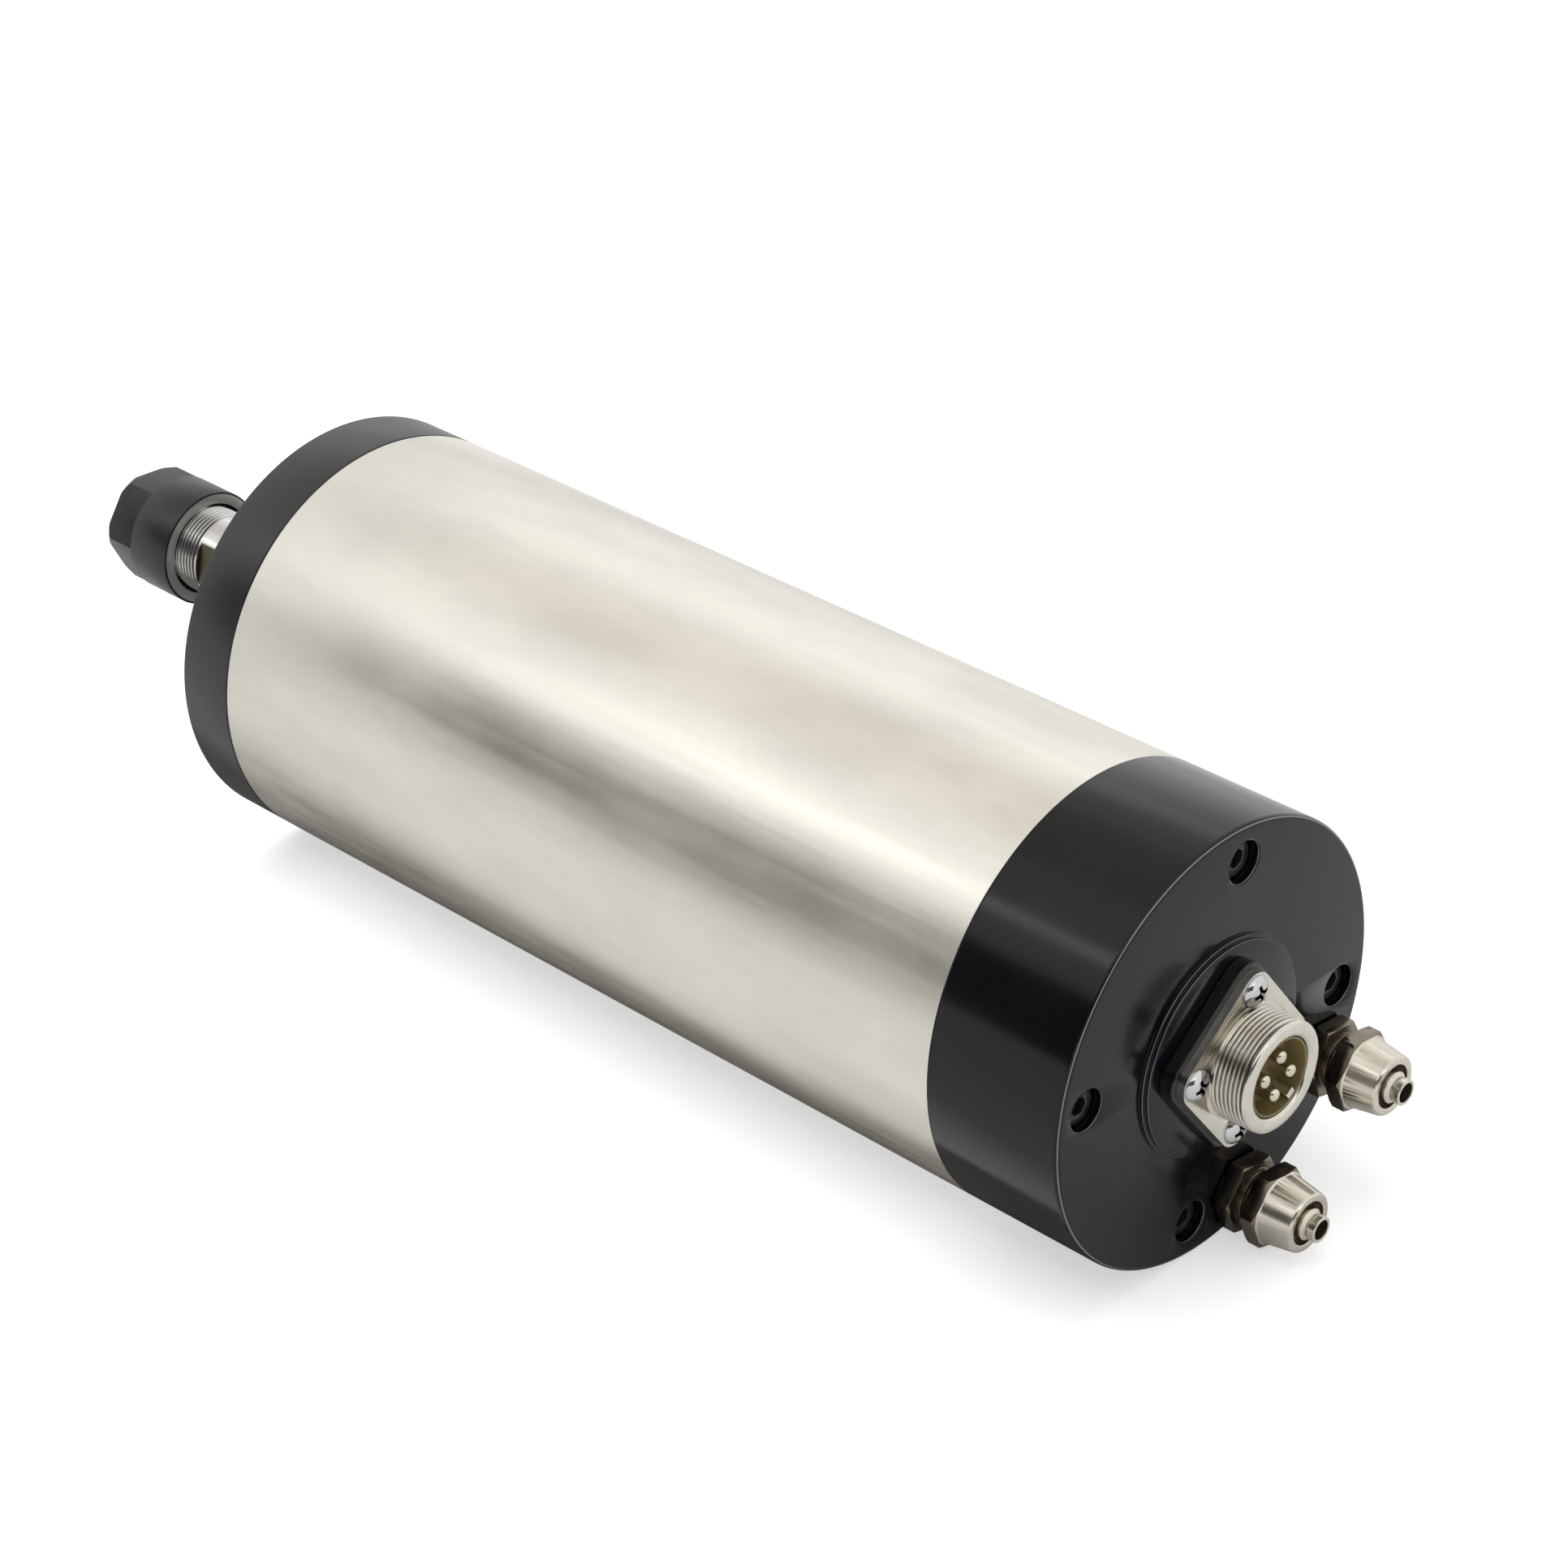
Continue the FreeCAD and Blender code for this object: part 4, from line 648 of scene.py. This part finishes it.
def spring_collet():
    """A collet with a groove for the nut, and slits from either end in turn."""
    collet = turned("spring_collet", [
        (3.0, 199.8), (3.4, 199.8), (3.6, 200.0), (5.7, 215.0), (4.8, 215.0), (4.8, 216.0), (5.7, 216.0),
        (5.6, 216.2), (4.67, 217.8), (3.3, 217.8), (3.0, 217.5)], hollow=True)
    for turn in range(0, 360, 90):
        combine(collet, side_block("front_slit", (12, 16, 0.6), 6, 210.8, turn))
        combine(collet, side_block("rear_slit", (12, 16, 0.6), 6, 206.8, turn + 45))
    return settle(collet)


def clamping_nut():
    """A round nut with a thread behind, a lip that holds the collet and six milled flats in front."""
    outside = [(7.6, 204.8), (9.3, 204.8), (9.45, 204.87), (9.5, 205.05), (9.5, 218.6), (9.44, 218.8),
               (8.66, 219.93), (8.5, 220.0), (5.9, 220.0)]
    inside = [(4.9, 219.0), (4.9, 217.8), (5.82, 215.9), (5.2, 215.9), (5.2, 215.1), (7.05, 215.1),
              (7.05, 206), (7.6, 206)]
    nut = turned("clamping_nut", outside + inside, hollow=True, steps=192)
    for turn in range(NUT_FLAT_ANGLE, 360, 60):
        combine(nut, side_block("spanner_flat", (6, 8, 20), 11.2, 217.3, turn))
    return soften(nut, 0.12, 2, 30)


# assembly

replaced = set()


def dress(piece, material, body, slot, *nodes):
    """Gives a piece its finish and body, and notes the node that it takes the place of; slot is not used."""
    piece.data.materials.clear()
    piece.data.materials.append(material)
    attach(piece, body)
    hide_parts(*nodes)
    replaced.update(nodes)


dress(clamping_sleeve(), sleeve_satin, "housing", "sleeve_steel", "outer_sleeve")
dress(rear_end_cap(), cap_gloss, "housing", "rear_cap_black", "rear_cap")
dress(front_end_cap(), charcoal, "housing", "front_cap_charcoal", "front_cap")
dress(socket_screws("rear_socket_screws", 1.4, 1, 44),
      screw_black, "housing", "screw_black", "rear_cap_screws")
dress(socket_screws("front_socket_screws", 170.6, -1, 148),
      screw_black, "housing", "screw_black", "front_cap_screws")

dress(flange_gasket(), gasket_black, "housing", "gasket_rubber", "connector_gasket")
dress(connector_shell(), flange_nickel, "housing", "nickel_plate", "connector_shell")
dress(pin_insulator(), moulded_brown, "housing", "insulator_brown", "connector_insulator")
dress(contact_pins(), pin_silver, "housing", "nickel_plate", "connector_pins")
dress(locating_key(), flange_nickel, "housing", "nickel_plate", "connector_key")
dress(flange_screws(), zinc, "housing", "nickel_plate", "connector_screws")

washer = seal_washer()
fitting = hose_fitting()
loose_nut = hose_nut()
for port, angle in PORTS.items():
    x, z = ring_place(PORT_CIRCLE, angle)
    dress(copied(washer, port + "_seal_washer", x=x, z=z),
          fibre, "housing", "washer_fibre", port + "_washer")
    dress(copied(fitting, port + "_hose_fitting", x=x, z=z),
          nickel, "housing", "nickel_plate", port + "_fitting")
    dress(copied(loose_nut, port + "_hose_nut", x=x, z=z),
          nickel, port + "_cap", "nickel_plate", port + "_cap_nut")
for pattern_piece in (washer, fitting, loose_nut):
    bpy.data.objects.remove(pattern_piece)

dress(spindle_shaft(), ground_steel, "rotor", "shaft_steel", "shaft")
dress(dust_slinger(), nut_oxide, "rotor", "nut_dark_steel", "dust_ring")
dress(spring_collet(), ground_steel, "collet_unit", "collet_steel", "collet")
dress(clamping_nut(), nut_oxide, "clamping_nut", "nut_dark_steel", "collet_nut")

# the other nodes are hidden inside and keep their solids; those not named here are bearing steel
INSIDE = {
    turned_aluminium: ("rear_bearing_seat", "coolant_jacket", "rear_end_ring", "front_end_ring"),
    laminated: ("stator_core", "rotor_core"),
    copper: ("stator_windings",),
    rubber: ("rear_jacket_seal", "front_jacket_seal"),
    cage_resin: ("nose_bearing_cage", "inboard_bearing_cage", "rear_bearing_cage"),
    lead_red: ("motor_leads",),
}
kind_of = {node: material for material, names in INSIDE.items() for node in names}
for node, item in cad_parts.items():
    if node in replaced:
        continue
    item.data.materials.clear()
    item.data.materials.append(kind_of.get(node, bearing_steel))


# studio, in metres in the frame

FLOOR_LEVEL = -0.03256
SKY_LIGHT = 0.62
SUN_PLACE = (-0.25, 0.35, 1.5)
CAMERA_PLACE = (-0.3625, -0.3569, 0.3061)
CAMERA_TARGET = (0.0002, -0.01363, 0.00778)


def aim(item, target):
    direction = [t - p for t, p in zip(target, item.location)]
    flat = math.hypot(direction[0], direction[1])
    heading = math.atan2(-direction[0], direction[1]) if flat > MM else 0
    item.rotation_euler = (math.atan2(flat, -direction[2]), 0, heading)


def matt(name, colour, specular=0.5):
    """A plain dull surface."""
    material = bpy.data.materials.new(name)
    material.use_nodes = True
    sockets = material.node_tree.nodes["Principled BSDF"].inputs
    sockets["Base Color"].default_value = (*colour, 1)
    sockets["Roughness"].default_value = 0.9
    sockets["Specular IOR Level"].default_value = specular
    return material


def paper_floor():
    """White paper that glows a little for the camera alone, so that it comes out as white as in the photo."""
    drop_selection()
    bpy.ops.mesh.primitive_plane_add(size=12, location=(0, 0, FLOOR_LEVEL))
    floor = bpy.context.object
    floor.name = "studio_floor"
    paper = matt("white_paper", (0.84, 0.84, 0.84), specular=0)
    tree = paper.node_tree
    for_camera = add_node(tree, "ShaderNodeLightPath", {}).outputs["Is Camera Ray"]
    glow = add_node(tree, "ShaderNodeEmission", {"Strength": calculated(tree, "MULTIPLY", for_camera, 0.52)})
    both = add_node(tree, "ShaderNodeAddShader", {
        0: tree.nodes["Principled BSDF"].outputs["BSDF"], 1: glow.outputs["Emission"]})
    tree.links.new(both.outputs["Shader"], tree.nodes["Material Output"].inputs["Surface"])
    floor.data.materials.append(paper)


def white_world():
    """White to the camera and in reflections, a little less bright as a light."""
    world = bpy.data.worlds.new("white_studio")
    bpy.context.scene.world = world
    world.use_nodes = True
    tree = world.node_tree
    ray = add_node(tree, "ShaderNodeLightPath", {}).outputs
    seen = calculated(tree, "MAXIMUM", ray["Is Camera Ray"], ray["Is Glossy Ray"])
    seen = calculated(tree, "MAXIMUM", seen, ray["Is Transmission Ray"])
    backdrop = tree.nodes["Background"].inputs
    tree.links.new(ramped(tree, seen, first=SKY_LIGHT), backdrop["Strength"])
    backdrop["Color"].default_value = (1, 1, 1, 1)


def soft_sun():
    """A broad overhead light that leaves no mirror image."""
    drop_selection()
    bpy.ops.object.light_add(type="SUN", location=SUN_PLACE)
    sun = bpy.context.object
    sun.name = "overhead_softlight"
    sun.data.energy = 1.15
    sun.data.angle = math.radians(50)
    sun.visible_glossy = False
    aim(sun, (0, 0, 0))


def lamp(name, place, target, size, watts):
    drop_selection()
    bpy.ops.object.light_add(type="AREA", location=place)
    light = bpy.context.object
    light.name = name
    light.data.shape = "RECTANGLE"
    light.data.size, light.data.size_y = size
    light.data.energy = watts
    aim(light, target)
    return light


def flag(name, place, target, size, lightness):
    """A cloth beside the set, or a card of painted shadow under the body, seen only in reflections."""
    drop_selection()
    bpy.ops.mesh.primitive_plane_add(size=1, location=place)
    cloth = bpy.context.object
    cloth.name = name
    cloth.scale = (*size, 1)
    aim(cloth, target)
    cloth.data.materials.append(matt(name, (lightness, 0.97 * lightness, 0.92 * lightness)))
    cloth.visible_camera = False
    cloth.visible_diffuse = False
    cloth.visible_shadow = False


def photo_camera():
    """The camera at the place from which the photo was taken, found by a fit to its outlines."""
    bpy.ops.object.camera_add(location=CAMERA_PLACE)
    camera = bpy.context.object
    camera.name = "photo_camera"
    camera.data.sensor_width = 36
    camera.data.lens = 94.44
    camera.data.clip_start = 0.01
    aim(camera, CAMERA_TARGET)
    return camera


paper_floor()
white_world()
soft_sun()
# long strips of light that draw the bright lines on the body
lamp("left_strip", (-0.65, 0.70, 0.86), (0, 0.70, 0), (1.5, 0.09), 0.98)
lamp("right_strip", (0.85, 0.80, 0.88), (0, 0.80, 0), (1.5, 0.25), 0.45)
rear_strip = lamp("rear_strip", (-0.15, -0.95, 0.80), (0, -0.09, 0), (0.5, 0.04), 0.35)
rear_strip.visible_diffuse = False
# dark and light cloths for the black and polished parts to reflect, and a grey card of painted shadow under
# the body
flag("side_flag", (-0.70, 0.45, 0.24), (0, 0.45, 0.0), (1.6, 0.42), 0.09)
flag("ceiling_flag", (0.12, 0.70, 1.0), (0.12, 0.70, 0.0), (0.6, 1.9), 0.95)
flag("camera_flag", (-0.55, -0.75, 0.40), (0, -0.08, 0), (0.9, 0.5), 0.1)
# painted shadow: a grey card under the body, so that its lower sides reflect shade instead of the lit floor
flag("floor_shadow_card", (0.0325, 0.019, -0.0322), (0.0325, 0.019, -1.0), (0.135, 0.222), 0.22)

scene = bpy.context.scene
scene.camera = photo_camera()
scene.view_settings.view_transform = "Standard"
